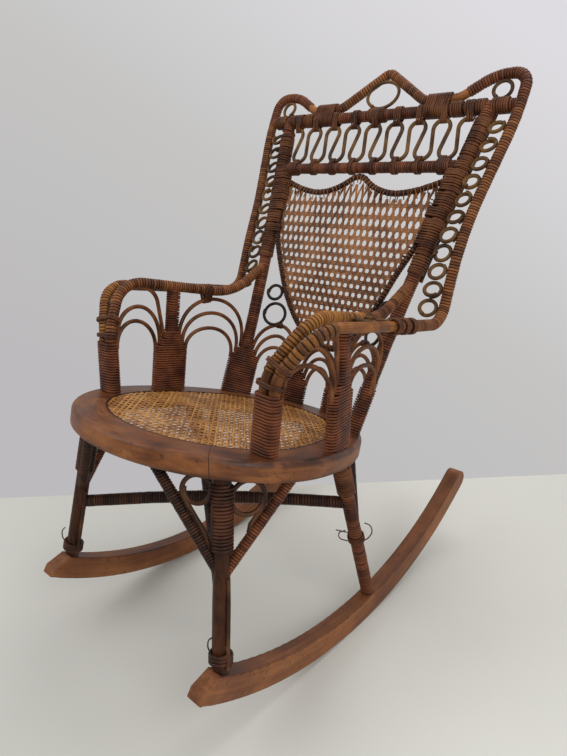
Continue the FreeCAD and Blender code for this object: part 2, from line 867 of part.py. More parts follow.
def shield_sheet():
    """A strip as thick as the cane, flat above the bend line and swept rearwards below it."""
    half = shield_cane_thickness / 2
    axis_w = shield_bend_radius
    half_width = post_top_u

    def on_arc(radius, turn):
        return back_point(-half_width, shield_bend_v - radius * math.sin(turn),
                          axis_w - radius * math.cos(turn))

    full_turn = math.asin((shield_bend_v - shield_tip_v + shield_border) / axis_w)
    inner = [on_arc(axis_w - half, full_turn * share) for share in [0, 0.5, 1]]
    outer = [on_arc(axis_w + half, full_turn * share) for share in [1, 0.5, 0]]
    rear_top = back_point(-half_width, top_rail_v, half)
    front_top = back_point(-half_width, top_rail_v, -half)
    curves = [Part.LineSegment(rear_top, inner[0]), Part.Arc(*inner), Part.LineSegment(inner[2], outer[0]),
              Part.Arc(*outer), Part.LineSegment(outer[2], front_top), Part.LineSegment(front_top, rear_top)]
    profile = Part.Face(Part.Wire([curve.toShape() for curve in curves]))
    return profile.extrude(out * (2 * half_width))


def back_cane(frame, top_rod):
    """Holed cane panel of the back, cut to the shield."""
    sides = rounded_path(whole_side(False)).Edges
    top = rounded_path(shield_top()).Edges
    outline = Part.Wire(Part.sortEdges(sides + top)[0])
    net = Part.makeFace([outline] + shield_holes(Part.Face(outline)), "Part::FaceMakerBullseye")
    block = net.extrude(back_rearward * shield_bend_radius)
    block.translate(back_rearward * -shield_border)
    return trimmed(shield_sheet().common(block), [frame, top_rod, peak_tie_room()])


# Palmettes and arches

def palmette_lift(axis, across, width):
    """Height at which the first turn clears the rim."""
    across = square_to(across, axis)
    depth = axis.cross(across)
    tip = abs(across.dot(seat_normal)) * width + abs(depth.dot(seat_normal)) * palmette_thickness
    return tip / 2 + palmette_cane / 2 + clearance


def palmette_spread(width, step):
    return width - step * palmette_step - palmette_thickness


def palmette_head(axis, across, width, turns):
    return palmette_lift(axis, across, width) + turns * palmette_pitch + palmette_cane / 2


def stadium_prism(foot, axis, across, spread, radius, height):
    """A bar with two flat sides and two round ends."""
    across = square_to(across, axis)
    depth = axis.cross(across)
    left = foot - across * (spread / 2)
    right = foot + across * (spread / 2)
    front = depth * -radius
    curves = [Part.LineSegment(left + front, right + front),
              Part.Arc(right + front, right + across * radius, right - front),
              Part.LineSegment(right - front, left - front),
              Part.Arc(left - front, left - across * radius, left + front)]
    return Part.Face(Part.Wire([curve.toShape() for curve in curves])).extrude(axis * height)


def palmette_level(axis, across, width, turns, step):
    """Height at which a step of the fan ends, counted from its widest part."""
    turns_above = palmette_step_turns * (palmette_steps - step)
    return palmette_head(axis, across, width, turns) - turns_above * palmette_pitch


def palmette_body(foot, axis, across, width, turns, radius, shoulder):
    """Stepped fan from inside the rim to its head, its lower steps raised or lowered by a shoulder."""
    body = None
    for step in range(palmette_steps + 1):
        height = palmette_level(axis, across, width, turns, step)
        if step < palmette_steps:
            height += shoulder
        slab = stadium_prism(foot - axis * rim_top_round, axis, across, palmette_spread(width, step), radius,
                             rim_top_round + height)
        body = slab if body is None else body.fuse(slab)
    return body.removeSplitter()


def palmette_winding(foot, axis, across, width, turns):
    start = foot + axis * palmette_lift(axis, across, width)
    steps = [max(0, palmette_steps - (turns - 1 - turn) // palmette_step_turns) for turn in range(turns)]
    spreads = [palmette_spread(width, step) for step in steps]
    radius = (palmette_thickness - palmette_cane) / 2
    return winding(start, axis, across, spreads, radius, palmette_pitch, palmette_cane)


def pin(foot, axis, height, slack):
    return round_bar(foot - axis * (rod_socket_depth + slack), foot + axis * height,
                     palmette_pin_diameter + 2 * slack)


def palmette_springing(place, side):
    """Start of each reed on the steps of a palmette: its axis, its middle line's foot and its height."""
    foot, axis, across, width, turns = place
    sideways = square_to(across, axis) * side
    starts = []
    for step in range(palmette_steps + 1):
        offset = width / 2 - (step + 0.5) * reed_diameter + clearance
        starts.append((foot + sideways * offset, axis, palmette_level(axis, across, width, turns, step)))
    return starts


def front_springing():
    """Start of the two reeds that stand against the ties of the left front post."""
    foot, knee = front_post_line()
    axis = unit(knee - foot)
    offset = rod_diameter / 2 + ornament_slack + tie_cane + 2 * clearance + reed_diameter / 2
    starts = []
    for height, (first, second, heading) in zip(front_tie_heights, front_tie_places()):
        behind = between(first, second, 0.5) + square_to(seat_rearward, heading) * offset
        starts.append((behind - axis * height, axis, height - tie_cane))
    return starts


def arch(first, second, crown, neighbours):
    """A reed bent to half an ellipse that springs from two posts."""
    points = []
    for side in range(arch_sides + 1):
        turn = math.pi * side / arch_sides
        spring = first[2] if side < arch_sides / 2 else second[2]
        height = spring + (crown - spring) * math.sin(turn)
        share = (1 - math.cos(turn)) / 2
        points.append(between(first[0] + first[1] * height, second[0] + second[1] * height, share))
    return trimmed(bent_rod(points, reed_diameter), neighbours)


def arches(first, second, crowns, neighbours):
    return [arch(start, end, crown, neighbours) for start, end, crown in zip(first, second, crowns)]


# Assembly

def mid_post_line():
    foot = seat_point(mid_post_x, mid_post_y)
    head = on_arm(mid_post_top_y)
    return foot, unit(head - foot), head


def palmettes():
    """Foot, axis, direction across, width and turns of each palmette of the left side."""
    mid_foot, mid_axis, mid_head = mid_post_line()
    back_points = back_post_points()
    back_axis = unit(back_points[1] - back_points[0])
    lean = math.radians(rear_post_lean)
    rear_axis = Vector(0, math.sin(lean), math.cos(lean))
    rear_foot = seat_point(rear_post_x, rear_post_y)
    return {"mid": (mid_foot, mid_axis, rim_direction(mid_post_x, mid_post_y),
                    mid_palmette_width, mid_palmette_turns),
            "back": (back_points[0], back_axis, rim_direction(post_foot_u, back_foot_y),
                     back_palmette_width, back_palmette_turns),
            "rear": (rear_foot, rear_axis, rim_direction(rear_post_x, rear_post_y),
                     rear_palmette_width, rear_palmette_turns)}


def side_pair(name, shape):
    return {name + "_left": shape, name + "_right": mirrored(shape)}


def rim_sockets(leg_lines):
    """Every hole of the left half of the rim."""
    sockets = [leg_tenon(line, clearance) for line in leg_lines]
    for side in [-1, 1]:
        socket, straight, knee = front_post_rod(side)
        reach = unit(knee - socket) * clearance
        sockets.append(round_bar(socket - reach, knee, rod_diameter + 2 * clearance))
    for foot, axis, across, width, turns in palmettes().values():
        sockets.append(pin(foot, axis, rod_socket_depth, clearance))
    return sockets


def seat_nodes(rim_blank, leg_lines):
    sockets = rim_sockets(leg_lines)
    rim = rim_blank.cut(sockets + [mirrored(socket) for socket in sockets] + [plug_bar(clearance)])
    return {"seat_rim": rim,
            "seat_cane": seat_cane(),
            "seat_spline": on_seat(spline_ring(clearance)),
            "rim_plug": plug_bar(0.0).common(rim_blank)}


def base_nodes(rim_blank, front_line, rear_line):
    """Rockers, legs, braces, stretchers and the trim under the seat."""
    rocker = rocker_blank()
    tenon_holes = [leg_tenon(line, clearance) for line in [front_line, rear_line]]
    front_leg = leg(front_line, rim_blank, rocker)
    rear_leg = leg(rear_line, rim_blank, rocker)
    legs = [front_leg, rear_leg, mirrored(front_leg), mirrored(rear_leg)]
    front_brace = brace_line(front_line, brace_height, front_brace_x, front_brace_y)
    side_brace = brace_line(front_line, brace_height, side_brace_x, side_brace_y)
    rear_brace = brace_line(rear_line, rear_brace_height, rear_brace_x, rear_brace_y)
    solid_front_brace = brace(front_brace, [rim_blank, front_leg])
    solid_side_brace = brace(side_brace, [rim_blank, front_leg, solid_front_brace])
    nodes = {}
    nodes.update(side_pair("rocker", rocker.cut(tenon_holes)))
    nodes.update(side_pair("front_leg", front_leg))
    nodes.update(side_pair("rear_leg", rear_leg))
    nodes.update(side_pair("front_brace", solid_front_brace))
    nodes.update(side_pair("side_brace", solid_side_brace))
    nodes.update(side_pair("rear_brace", brace(rear_brace, [rim_blank, rear_leg])))
    nodes["front_leg_windings"] = both_sides([leg_winding(front_line, front_leg_turns)])
    nodes["rear_leg_windings"] = both_sides([leg_winding(rear_line, rear_leg_turns)])
    nodes["upper_stretcher"] = mirrored(stretcher(front_line, rear_line, stretcher_bow, legs))
    nodes["lower_stretcher"] = stretcher(front_line, rear_line, -stretcher_bow, legs)
    nodes["underseat_scrolls"] = both_sides([scroll(front_brace, front_line, front_scroll_radius),
                                             scroll(side_brace, front_line, side_scroll_radius)])
    directions = [front_brace[1] - front_brace[0], side_brace[1] - side_brace[0]]
    nodes["leg_splints"] = both_sides([splint(front_line, direction) for direction in directions])
    nodes["foot_collars"] = both_sides(collars(front_line))
    return nodes


def frame_nodes():
    """Bent rods of the arms and the back."""
    bow = bent_rod(outer_bow_points(), rod_diameter)
    top_rail = rail(top_rail_v, bow_shoulder_u, [bow, mirrored(bow)])
    foot, axis, across, width, turns = palmettes()["back"]
    shoulder = palmette_head(axis, across, width, turns) + clearance
    points = back_post_points()
    bent_post = trimmed(bent_rod([foot + axis * shoulder] + points[1:], back_post_diameter), [top_rail])
    back_post = bent_post.fuse(pin(foot, axis, shoulder + clearance, 0.0)).removeSplitter()
    arm_rod = trimmed(bent_rod(arm_rod_points(), rod_diameter), [back_post])
    foot, axis, head = mid_post_line()
    width, turns = mid_palmette_width, mid_palmette_turns
    shoulder = palmette_head(axis, rim_direction(mid_post_x, mid_post_y), width, turns) + clearance
    upper_post = trimmed(round_bar(foot + axis * shoulder, head, mid_post_diameter), [arm_rod])
    mid_post = upper_post.fuse(pin(foot, axis, shoulder + clearance, 0.0)).removeSplitter()
    nodes = {"top_rail": top_rail,
             "second_rail": rail(second_rail_v, post_u(second_rail_v), [back_post, mirrored(back_post)]),
             "crest_rod": bent_rod(crest_points(), rod_diameter)}
    nodes.update(side_pair("outer_bow", bow))
    nodes.update(side_pair("arm_rod", arm_rod))
    nodes.update(side_pair("back_post", back_post))
    nodes.update(side_pair("mid_post", mid_post))
    return nodes


def palmette_nodes(rim_blank):
    nodes = {}
    windings = []
    for name, place in palmettes().items():
        foot, axis, across, width, turns = place
        body = trimmed(palmette_body(*place, palmette_core / 2, -palmette_cane), [rim_blank])
        if name == "rear":
            body = body.fuse(pin(foot, axis, rim_top_round, 0.0)).removeSplitter()
        else:
            body = body.cut(pin(foot, axis, palmette_head(axis, across, width, turns) + clearance, clearance))
        nodes.update(side_pair(name + "_palmette", body))
        windings.append(palmette_winding(*place))
    nodes["palmette_windings"] = both_sides(windings)
    return nodes


def front_post_trim():
    """Winding of the left front post and the two ties above it."""
    foot, knee = front_post_line()
    axis = unit(knee - foot)
    radius = (rod_diameter + front_post_cane) / 2 + clearance
    lift = front_post_cane + radius * abs(axis.cross(out).dot(seat_normal))
    wound = winding(foot + axis * lift, axis, out, [rod_spacing] * front_post_turns, radius,
                    front_post_pitch, front_post_cane)
    grip = rod_diameter / 2 + ornament_slack
    ties = [bundle_winding(*place, grip, tie_turns) for place in front_tie_places()]
    return wound, ties


def peak_tie_ends():
    """Middles of the second rail and of the shield's peak, which a tie holds together."""
    return back_point(0, second_rail_v), nearest_on(shield_top(), lambda point: abs(point.x), 0.0)


def peak_tie_room():
    """The space that the tie at the shield's peak takes up."""
    first, second = peak_tie_ends()
    length = (tie_turns + 2) * tie_pitch
    start = between(first, second, 0.5) - out * (length / 2)
    radius = rail_diameter / 2 + tie_cane + 2 * clearance
    return stadium_prism(start, out, second - first, (second - first).Length, radius, length)


def ornament_nodes(frame):
    """Reeds, rings and bindings of the back and the arms."""
    wound, ties = front_post_trim()
    wrap = bundle_winding(back_point(crest_joint_u, top_rail_v), back_point(crest_joint_u, crest_dip_v), out,
                          rail_diameter / 2, crest_wrap_turns)
    side_rings = [lower_ring(lower_ring_v, lower_ring_radius), lower_ring(small_ring_v, small_ring_radius),
                  ring_under(wing_points()[1:6], corner_ring_u)]
    peak_tie = bundle_winding(*peak_tie_ends(), out, rail_diameter / 2, tie_turns)
    nodes = {"front_post_windings": both_sides([wound]),
             "cane_ties": Part.makeCompound(both_sides(ties).Solids + [peak_tie]),
             "crest_wraps": both_sides([wrap]),
             "rail_serpentine": serpentine(),
             "ornament_rings": Part.makeCompound([crest_ring()] + both_sides(side_rings).Solids)}
    nodes.update(side_pair("wing_chain", wing_chain()))
    nodes.update(side_pair("wing_spine", wing_spine(frame["top_rail"])))
    return nodes


def shield_nodes():
    frame = bent_rod(whole_side(True), shield_frame_diameter)
    top_rod = trimmed(bent_rod(shield_top(), shield_frame_diameter), [frame])
    return {"shield_frame": frame,
            "shield_top_rod": top_rod,
            "back_cane": back_cane(frame, top_rod)}


def quarter_arch(neighbours):
    """A reed that falls from the underside of the left arm to the head of the mid palmette."""
    start = on_arm(quarter_arch_y)
    foot, axis, height = palmette_springing(palmettes()["mid"], -1)[palmette_steps]
    end = foot + axis * height
    knee = Vector((start.x + end.x) / 2, quarter_arch_knee_y, quarter_arch_knee_z)
    return trimmed(bent_rod([start, knee, end], reed_diameter), neighbours)


def arcade_nodes(frame):
    """Ranks of reed arches along the rim, from post to post."""
    places = palmettes()
    fans = {name: palmette_body(*place, palmette_thickness / 2 + clearance, clearance)
            for name, place in places.items()}
    front_posts = [frame["outer_bow_left"], frame["arm_rod_left"]]
    mid_post = [frame["mid_post_left"], fans["mid"]]
    back_post = [frame["back_post_left"], fans["back"]]
    rear_fans = [fans["rear"], mirrored(fans["rear"])]
    rear_inner = palmette_springing(places["rear"], 1)
    rear_across = [(flipped(foot), axis, height) for foot, axis, height in rear_inner]
    front = arches(front_springing(), palmette_springing(places["mid"], -1), front_arch_crowns,
                   front_posts + mid_post)
    front.append(quarter_arch(front_posts + mid_post))
    side = arches(palmette_springing(places["mid"], 1), palmette_springing(places["back"], -1),
                  side_arch_crowns, mid_post + back_post)
    rear = arches(palmette_springing(places["back"], 1), palmette_springing(places["rear"], -1),
                  rear_arch_crowns, back_post + rear_fans)
    centre = arches(rear_inner, rear_across, centre_arch_crowns, rear_fans)
    nodes = {"centre_arches": Part.makeCompound(centre)}
    nodes.update(side_pair("front_arches", Part.makeCompound(front)))
    nodes.update(side_pair("side_arches", Part.makeCompound(side)))
    nodes.update(side_pair("rear_arches", Part.makeCompound(rear)))
    return nodes


def build():
    rim_blank = seat_rim_blank()
    front_line = leg_line(front_leg_top_x, front_leg_top_y, front_leg_foot_y)
    rear_line = leg_line(rear_leg_top_x, rear_leg_top_y, rear_leg_foot_y)
    frame = frame_nodes()
    nodes = seat_nodes(rim_blank, [front_line, rear_line])
    nodes.update(base_nodes(rim_blank, front_line, rear_line))
    nodes.update(frame)
    nodes.update(palmette_nodes(rim_blank))
    nodes.update(ornament_nodes(frame))
    nodes.update(shield_nodes())
    nodes.update(arcade_nodes(frame))
    return nodes


os.makedirs("parts", exist_ok=True)
chair = build()
for name, shape in chair.items():
    shape.exportStep("parts/" + name + ".step")
print("nodes", len(chair))
print("least gap in a winding", round(min(least_gaps), 2))
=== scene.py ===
import logging
import math
import random
from dataclasses import dataclass
from enum import Enum
from functools import lru_cache
from typing import Any, Callable, Optional, Sequence

import bpy
import numpy as np
from bpy.types import Material, Mesh, Node, NodeSocket, NodeTree, Object
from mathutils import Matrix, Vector


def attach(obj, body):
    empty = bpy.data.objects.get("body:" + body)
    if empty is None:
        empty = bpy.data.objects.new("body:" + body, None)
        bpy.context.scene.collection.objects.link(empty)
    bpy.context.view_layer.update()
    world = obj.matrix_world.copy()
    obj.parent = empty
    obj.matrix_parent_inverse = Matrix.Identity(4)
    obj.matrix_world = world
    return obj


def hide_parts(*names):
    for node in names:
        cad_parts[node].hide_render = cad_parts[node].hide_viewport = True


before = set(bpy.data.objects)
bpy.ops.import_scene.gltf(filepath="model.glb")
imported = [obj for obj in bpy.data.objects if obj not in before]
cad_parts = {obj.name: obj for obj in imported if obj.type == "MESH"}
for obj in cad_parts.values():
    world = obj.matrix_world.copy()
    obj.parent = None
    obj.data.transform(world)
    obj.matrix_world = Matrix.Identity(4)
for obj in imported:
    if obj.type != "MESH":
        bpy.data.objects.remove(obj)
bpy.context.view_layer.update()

# Looks of a wicker rocking chair. Metres, +Z up. The sitter faces -Y and x = 0 is the middle plane.

Colour = tuple[float, ...]
Measure = Callable[[Vector], float]
Inside = Callable[[float, float], bool]
Springing = tuple[Vector, Vector, float]

LOG = logging.getLogger("rocking_chair")
OUT = Vector((1.0, 0.0, 0.0))
UP = Vector((0.0, 0.0, 1.0))
BODY = "root"
# Name under which a mesh keeps the bearing round a cane and the place along it
LAY = "lay"
# Room between pieces that touch
SLACK = 0.0003
# Factor by which strands are drawn higher than they lie
STRETCH = 3.0
# Sizes that arms and back share: two radii and two places on the back
ROD_RADIUS = 0.0095
RAIL_RADIUS = 0.011
TOP_RAIL_V = 0.635
CREST_JOINT = 0.137


def tint(red: int, green: int, blue: int) -> Colour:
    """Turns the screen levels of a colour, from 0 to 255, into amounts of light with full cover."""
    levels = [((level / 255 + 0.055) / 1.055) ** 2.4 for level in (red, green, blue)]
    return (*levels, 1.0)


def square_to(vector: Vector, axis: Vector) -> Vector:
    """The direction of a vector, made square to an axis of length one."""
    return (vector - axis * vector.dot(axis)).normalized()


def mirrored(places: Sequence[tuple[float, float]]) -> list[tuple[float, float]]:
    """Places from the left to the middle plane, carried on to the right."""
    return [*places, *((-u, v) for u, v in reversed(places[:-1]))]


class Side(Enum):
    """Side of the chair as the sitter has it, with the sign of its x."""

    LEFT = 1
    RIGHT = -1

    def __str__(self) -> str:
        """The side's name in the names of pieces."""
        return self.name.lower()


@dataclass(frozen=True)
class Route:
    """Middle line of a rod, reed or cane, as a run of close points."""

    points: tuple[Vector, ...]

    @staticmethod
    def rounded(corners: Sequence[Vector], share: float = 0.46, arc_step: float = 0.11) -> "Route":
        """Runs straight lines through corners and rounds each corner with an arc.

        Args:
            corners: Corners of the line, with its two ends.
            share: Part of the shorter run that an arc takes up.
            arc_step: Turn between two points of an arc, in radians.

        Returns:
            The rounded route.
        """
        points = [corners[0].copy()]
        for before, corner, after in zip(corners, corners[1:], corners[2:]):
            back = (before - corner).normalized()
            ahead = (after - corner).normalized()
            half_turn = (math.pi - back.angle(ahead)) / 2
            if half_turn < 0.001:
                continue
            reach = share * min((before - corner).length, (after - corner).length)
            radius = reach / math.tan(half_turn)
            centre = corner + (back + ahead).normalized() * (radius / math.cos(half_turn))
            first = corner + back * reach - centre
            last = corner + ahead * reach - centre
            turn = 2 * half_turn
            steps = max(2, math.ceil(turn / arc_step))
            for step in range(steps + 1):
                lead = math.sin(turn * (1 - step / steps))
                trail = math.sin(turn * step / steps)
                points.append(centre + (first * lead + last * trail) / math.sin(turn))
        points.append(corners[-1].copy())
        return Route(tuple(points))

    def runs(self) -> list[float]:
        """Length of the route up to each of its points."""
        lengths = [0.0]
        for first, second in zip(self.points, self.points[1:]):
            lengths.append(lengths[-1] + (second - first).length)
        return lengths

    @property
    def length(self) -> float:
        """Length of the whole route."""
        return self.runs()[-1]

    @property
    def axis(self) -> Vector:
        """Direction from the route's first point to its last."""
        return (self.points[-1] - self.points[0]).normalized()

    def at(self, reach: float) -> Vector:
        """The point that lies a length along the route."""
        runs = self.runs()
        for index in range(1, len(runs)):
            if reach <= runs[index] or index == len(runs) - 1:
                share = (reach - runs[index - 1]) / max(1e-9, runs[index] - runs[index - 1])
                return self.points[index - 1].lerp(self.points[index], share)
        return self.points[-1]

    def heading(self, reach: float) -> Vector:
        """Direction of the route a length along it."""
        step = 0.002
        low = max(0.0, reach - step)
        high = min(self.length, reach + step)
        return (self.at(high) - self.at(low)).normalized()

    def part(self, start: float, end: float) -> "Route":
        """The part of the route between two lengths along it."""
        inner = [point for point, run in zip(self.points, self.runs()) if start + 1e-4 < run < end - 1e-4]
        return Route((self.at(start), *inner, self.at(end)))

    def reach_where(self, measure: Measure, value: float) -> float:
        """Length along the route at which a measure of its points comes nearest to a value."""
        count = 500
        length = self.length
        runs = self.runs()
        samples = np.linspace(0.0, length, count)
        places = np.array([list(point) for point in self.points])
        tracks = [np.interp(samples, runs, places[:, axis]) for axis in range(3)]
        gaps = [abs(measure(Vector(place)) - value) for place in zip(*tracks)]
        return float(samples[int(np.argmin(gaps))])

    def near(self, measure: Measure, value: float) -> Vector:
        """The point of the route whose measure comes nearest to a value."""
        return self.at(self.reach_where(measure, value))

    def sided(self, side: Side) -> "Route":
        """The route as it is on a side, given as it is on the left."""
        return Route(tuple(Vector((point.x * side.value, point.y, point.z)) for point in self.points))

    def both(self) -> list["Route"]:
        """The route on both sides, given as it is on the left."""
        return [self.sided(side) for side in Side]


@dataclass(frozen=True)
class Belt:
    """One turn of cane round two rods, drawn square to the run of the turns."""

    first: float
    second: float
    spread: float
    count: int = 28

    @staticmethod
    def ring(radius: float, count: int = 20) -> "Belt":
        """One turn round a single rod."""
        return Belt(radius, radius, 0.0, count)

    def loop(self) -> list[tuple[float, float]]:
        """Places of the turn, across the two rods and in depth."""
        places = []
        for index in range(self.count):
            turn = 2 * math.pi * (index + 0.5) / self.count
            across, depth = math.cos(turn), math.sin(turn)
            near = self.first - across * self.spread / 2
            far = self.second + across * self.spread / 2
            radius, centre = (self.second, self.spread / 2) if far > near else (self.first, -self.spread / 2)
            places.append((centre + radius * across, radius * depth))
        return places


def coil(foot: Vector, axis: Vector, across: Vector, belts: Sequence[Belt], pitch: float,
         wander: float = 0.0, seed: int = 1) -> Route:
    """One unbroken cane wound up an axis.

    Args:
        foot: Middle of the first turn.
        axis: Direction in which the turns follow each other.
        across: Direction from the first rod to the second.
        belts: The turns, from the foot on.
        pitch: Height of a turn.
        wander: Share of the pitch by which turns stray.
        seed: Start of the straying.

    Returns:
        The route of the cane.
    """
    rng = random.Random(seed)
    axis = axis.normalized()
    across = square_to(across, axis)
    depth = axis.cross(across)
    points = []
    stray = 0.0
    for turn, belt in enumerate(belts):
        following = rng.uniform(-wander, wander)
        places = belt.loop()
        for index, (a, d) in enumerate(places):
            share = index / len(places)
            height = (turn + share + stray + (following - stray) * share) * pitch
            points.append(foot + across * a + depth * d + axis * height)
        stray = following
    return Route(tuple(points))


def hoop(centre: Vector, normal: Vector, radius: float, cane: float, start: float, lap: float = 0.9) -> Route:
    """An open ring of reed whose ends lie side by side.

    Args:
        centre: Middle of the ring.
        normal: Axis of the ring.
        radius: Outer radius.
        cane: Diameter of the reed.
        start: Bearing of the first end.
        lap: Turn by which the ends overlap, in radians.

    Returns:
        The route of the reed.
    """
    axis = normal.normalized()
    across = square_to(UP if abs(axis.z) < 0.9 else OUT, axis)
    depth = axis.cross(across)
    middle = radius - cane / 2
    count = 34
    points = []
    for index in range(count + 1):
        share = index / count
        turn = start + (2 * math.pi + lap) * share
        shift = axis * (cane * 0.8 * (share - 0.5))
        points.append(centre + (across * math.cos(turn) + depth * math.sin(turn)) * middle + shift)
    return Route(tuple(points))


def clipped_runs(inside: Inside, start: tuple[float, float], heading: tuple[float, float],
                 reach: float, step: float) -> list[list[tuple[float, float]]]:
    """Cuts a straight strand to an outline.

    Args:
        inside: Says if a place lies in the outline.
        start: A place on the strand's line.
        heading: Direction of the line, of length one.
        reach: Length to both sides of the start that is tried.
        step: Distance between two points of the strand.

    Returns:
        The runs of the line inside the outline, each as its points.
    """
    def place(t: float) -> tuple[float, float]:
        return start[0] + heading[0] * t, start[1] + heading[1] * t

    def border(low: float, high: float) -> float:
        was = inside(*place(low))
        for _ in range(7):
            middle = (low + high) / 2
            if inside(*place(middle)) == was:
                low = middle
            else:
                high = middle
        return (low + high) / 2

    runs: list[list[tuple[float, float]]] = []
    current: list[tuple[float, float]] = []
    count = int(reach / step)
    before = False
    for index in range(-count, count + 1):
        t = index * step
        here = inside(*place(t))
        if here and not before:
            current = [place(border(t - step, t))]
        if here:
            current.append(place(t))
        if before and not here:
            current.append(place(border(t - step, t)))
            runs.append(current)
        before = here
    return [run for run in runs if len(run) > 2]


def leaning(angle: float) -> tuple[Vector, Vector]:
    """Upward and rearward direction of something that leans to the rear."""
    sine, cosine = math.sin(angle), math.cos(angle)
    return Vector((0.0, sine, cosine)), Vector((0.0, cosine, -sine))


class Stance:
    """Planes of the seat and the back, each with its upward and its rearward direction."""

    seat_height = 0.419
    seat_setback = 0.135
    back_foot = 0.176
    seat_lean = math.radians(13.4)
    back_lean = math.radians(25.9)
    seat_up, seat_rearward = leaning(seat_lean)
    back_up, back_rearward = leaning(back_lean)

    def seat(self, x: float, y: float, height: float = 0.0) -> Vector:
        """A point given in the seat plane."""
        middle = Vector((x, -self.seat_setback, self.seat_height))
        return middle + self.seat_rearward * y + self.seat_up * height

    def back(self, u: float, v: float, w: float = 0.0) -> Vector:
        """A point of the back: sideways, up the slope and behind it."""
        return self.seat(0.0, self.back_foot) + OUT * u + self.back_up * v + self.back_rearward * w

    def up_back(self, point: Vector) -> float:
        """Height of a point up the slope of the back."""
        return (point - self.seat(0.0, self.back_foot)).dot(self.back_up)


STANCE = Stance()


class Rocker:
    """Bow of a rocker: an arc that is flat where it rests on the floor."""

    radius = 0.703
    inner_radius = 0.661
    middle_y = -0.014
    middle_z = 0.7024
    aside = 0.212


class NodePen:
    """Draws the nodes of one shader tree."""

    def __init__(self, tree: NodeTree) -> None:
        """Takes the tree to draw in."""
        self.tree = tree

    def feed(self, socket: NodeSocket, value: Any) -> None:
        """Joins a socket to another one, or sets its value."""
        if isinstance(value, NodeSocket):
            self.tree.links.new(value, socket)
        else:
            socket.default_value = value

    def node(self, kind: str, inputs: Optional[dict[Any, Any]] = None, **settings: Any) -> Node:
        """Adds a node.

        Args:
            kind: Blender's name of the node's type.
            inputs: Values or sockets for its inputs, by name or number.
            settings: Its own properties.

        Returns:
            The node.
        """
        made = self.tree.nodes.new(kind)
        for name, value in settings.items():
            setattr(made, name, value)
        for key, value in (inputs or {}).items():
            self.feed(made.inputs[key], value)
        return made

    def math(self, operation: str, first: Any, second: Any = 0.0) -> NodeSocket:
        """One sum of two values."""
        return self.node("ShaderNodeMath", {0: first, 1: second}, operation=operation).outputs[0]

    def times(self, first: Any, second: Any) -> NodeSocket:
        """The product of two values."""
        return self.math("MULTIPLY", first, second)

    def blend(self, parts: Sequence[tuple[Any, float]]) -> NodeSocket:
        """Adds up values, each with its weight."""
        total: Any = 0.0
        for value, weight in parts:
            total = self.math("ADD", self.times(value, weight), total)
        return total

    def smooth(self, value: Any, low: float, high: float) -> NodeSocket:
        """A mask that rises softly from nought at a low value to one at a high one."""
        made = self.node("ShaderNodeMapRange", {"Value": value, "From Min": low, "From Max": high},
                         interpolation_type="SMOOTHSTEP")
        return made.outputs["Result"]

    def noise(self, vector: Any, scale: Any, detail: float = 3.0) -> NodeSocket:
        """A cloudy value from a noise."""
        made = self.node("ShaderNodeTexNoise", {"Vector": vector, "Scale": scale, "Detail": detail})
        return made.outputs[0]

    def mix(self, share: Any, first: Any, second: Any) -> NodeSocket:
        """A colour between two colours."""
        made = self.node("ShaderNodeMix", {0: share, 6: first, 7: second}, data_type="RGBA")
        return made.outputs[2]

    def ramp(self, share: Any, stops: Sequence[tuple[float, Colour]]) -> NodeSocket:
        """A colour from a row of colours."""
        made = self.node("ShaderNodeValToRGB", {"Fac": share})
        elements = made.color_ramp.elements
        while len(elements) < len(stops):
            elements.new(0.5)
        for element, (place, colour) in zip(elements, stops):
            element.position = place
            element.color = colour
        return made.outputs["Color"]

    def group(self, tree: NodeTree, inputs: dict[str, Any]) -> Node:
        """Places a shared group in the tree."""
        return self.node("ShaderNodeGroup", inputs, node_tree=tree)

    def scaled(self, parts: Sequence[Any], scales: Sequence[Any]) -> NodeSocket:
        """A place made of three values, each with its own scale."""
        places = {index: self.times(*pair) for index, pair in enumerate(zip(parts, scales))}
        return self.node("ShaderNodeCombineXYZ", places).outputs[0]

    def split(self, vector: Any) -> Node:
        """The three parts of a vector."""
        return self.node("ShaderNodeSeparateXYZ", {0: vector})


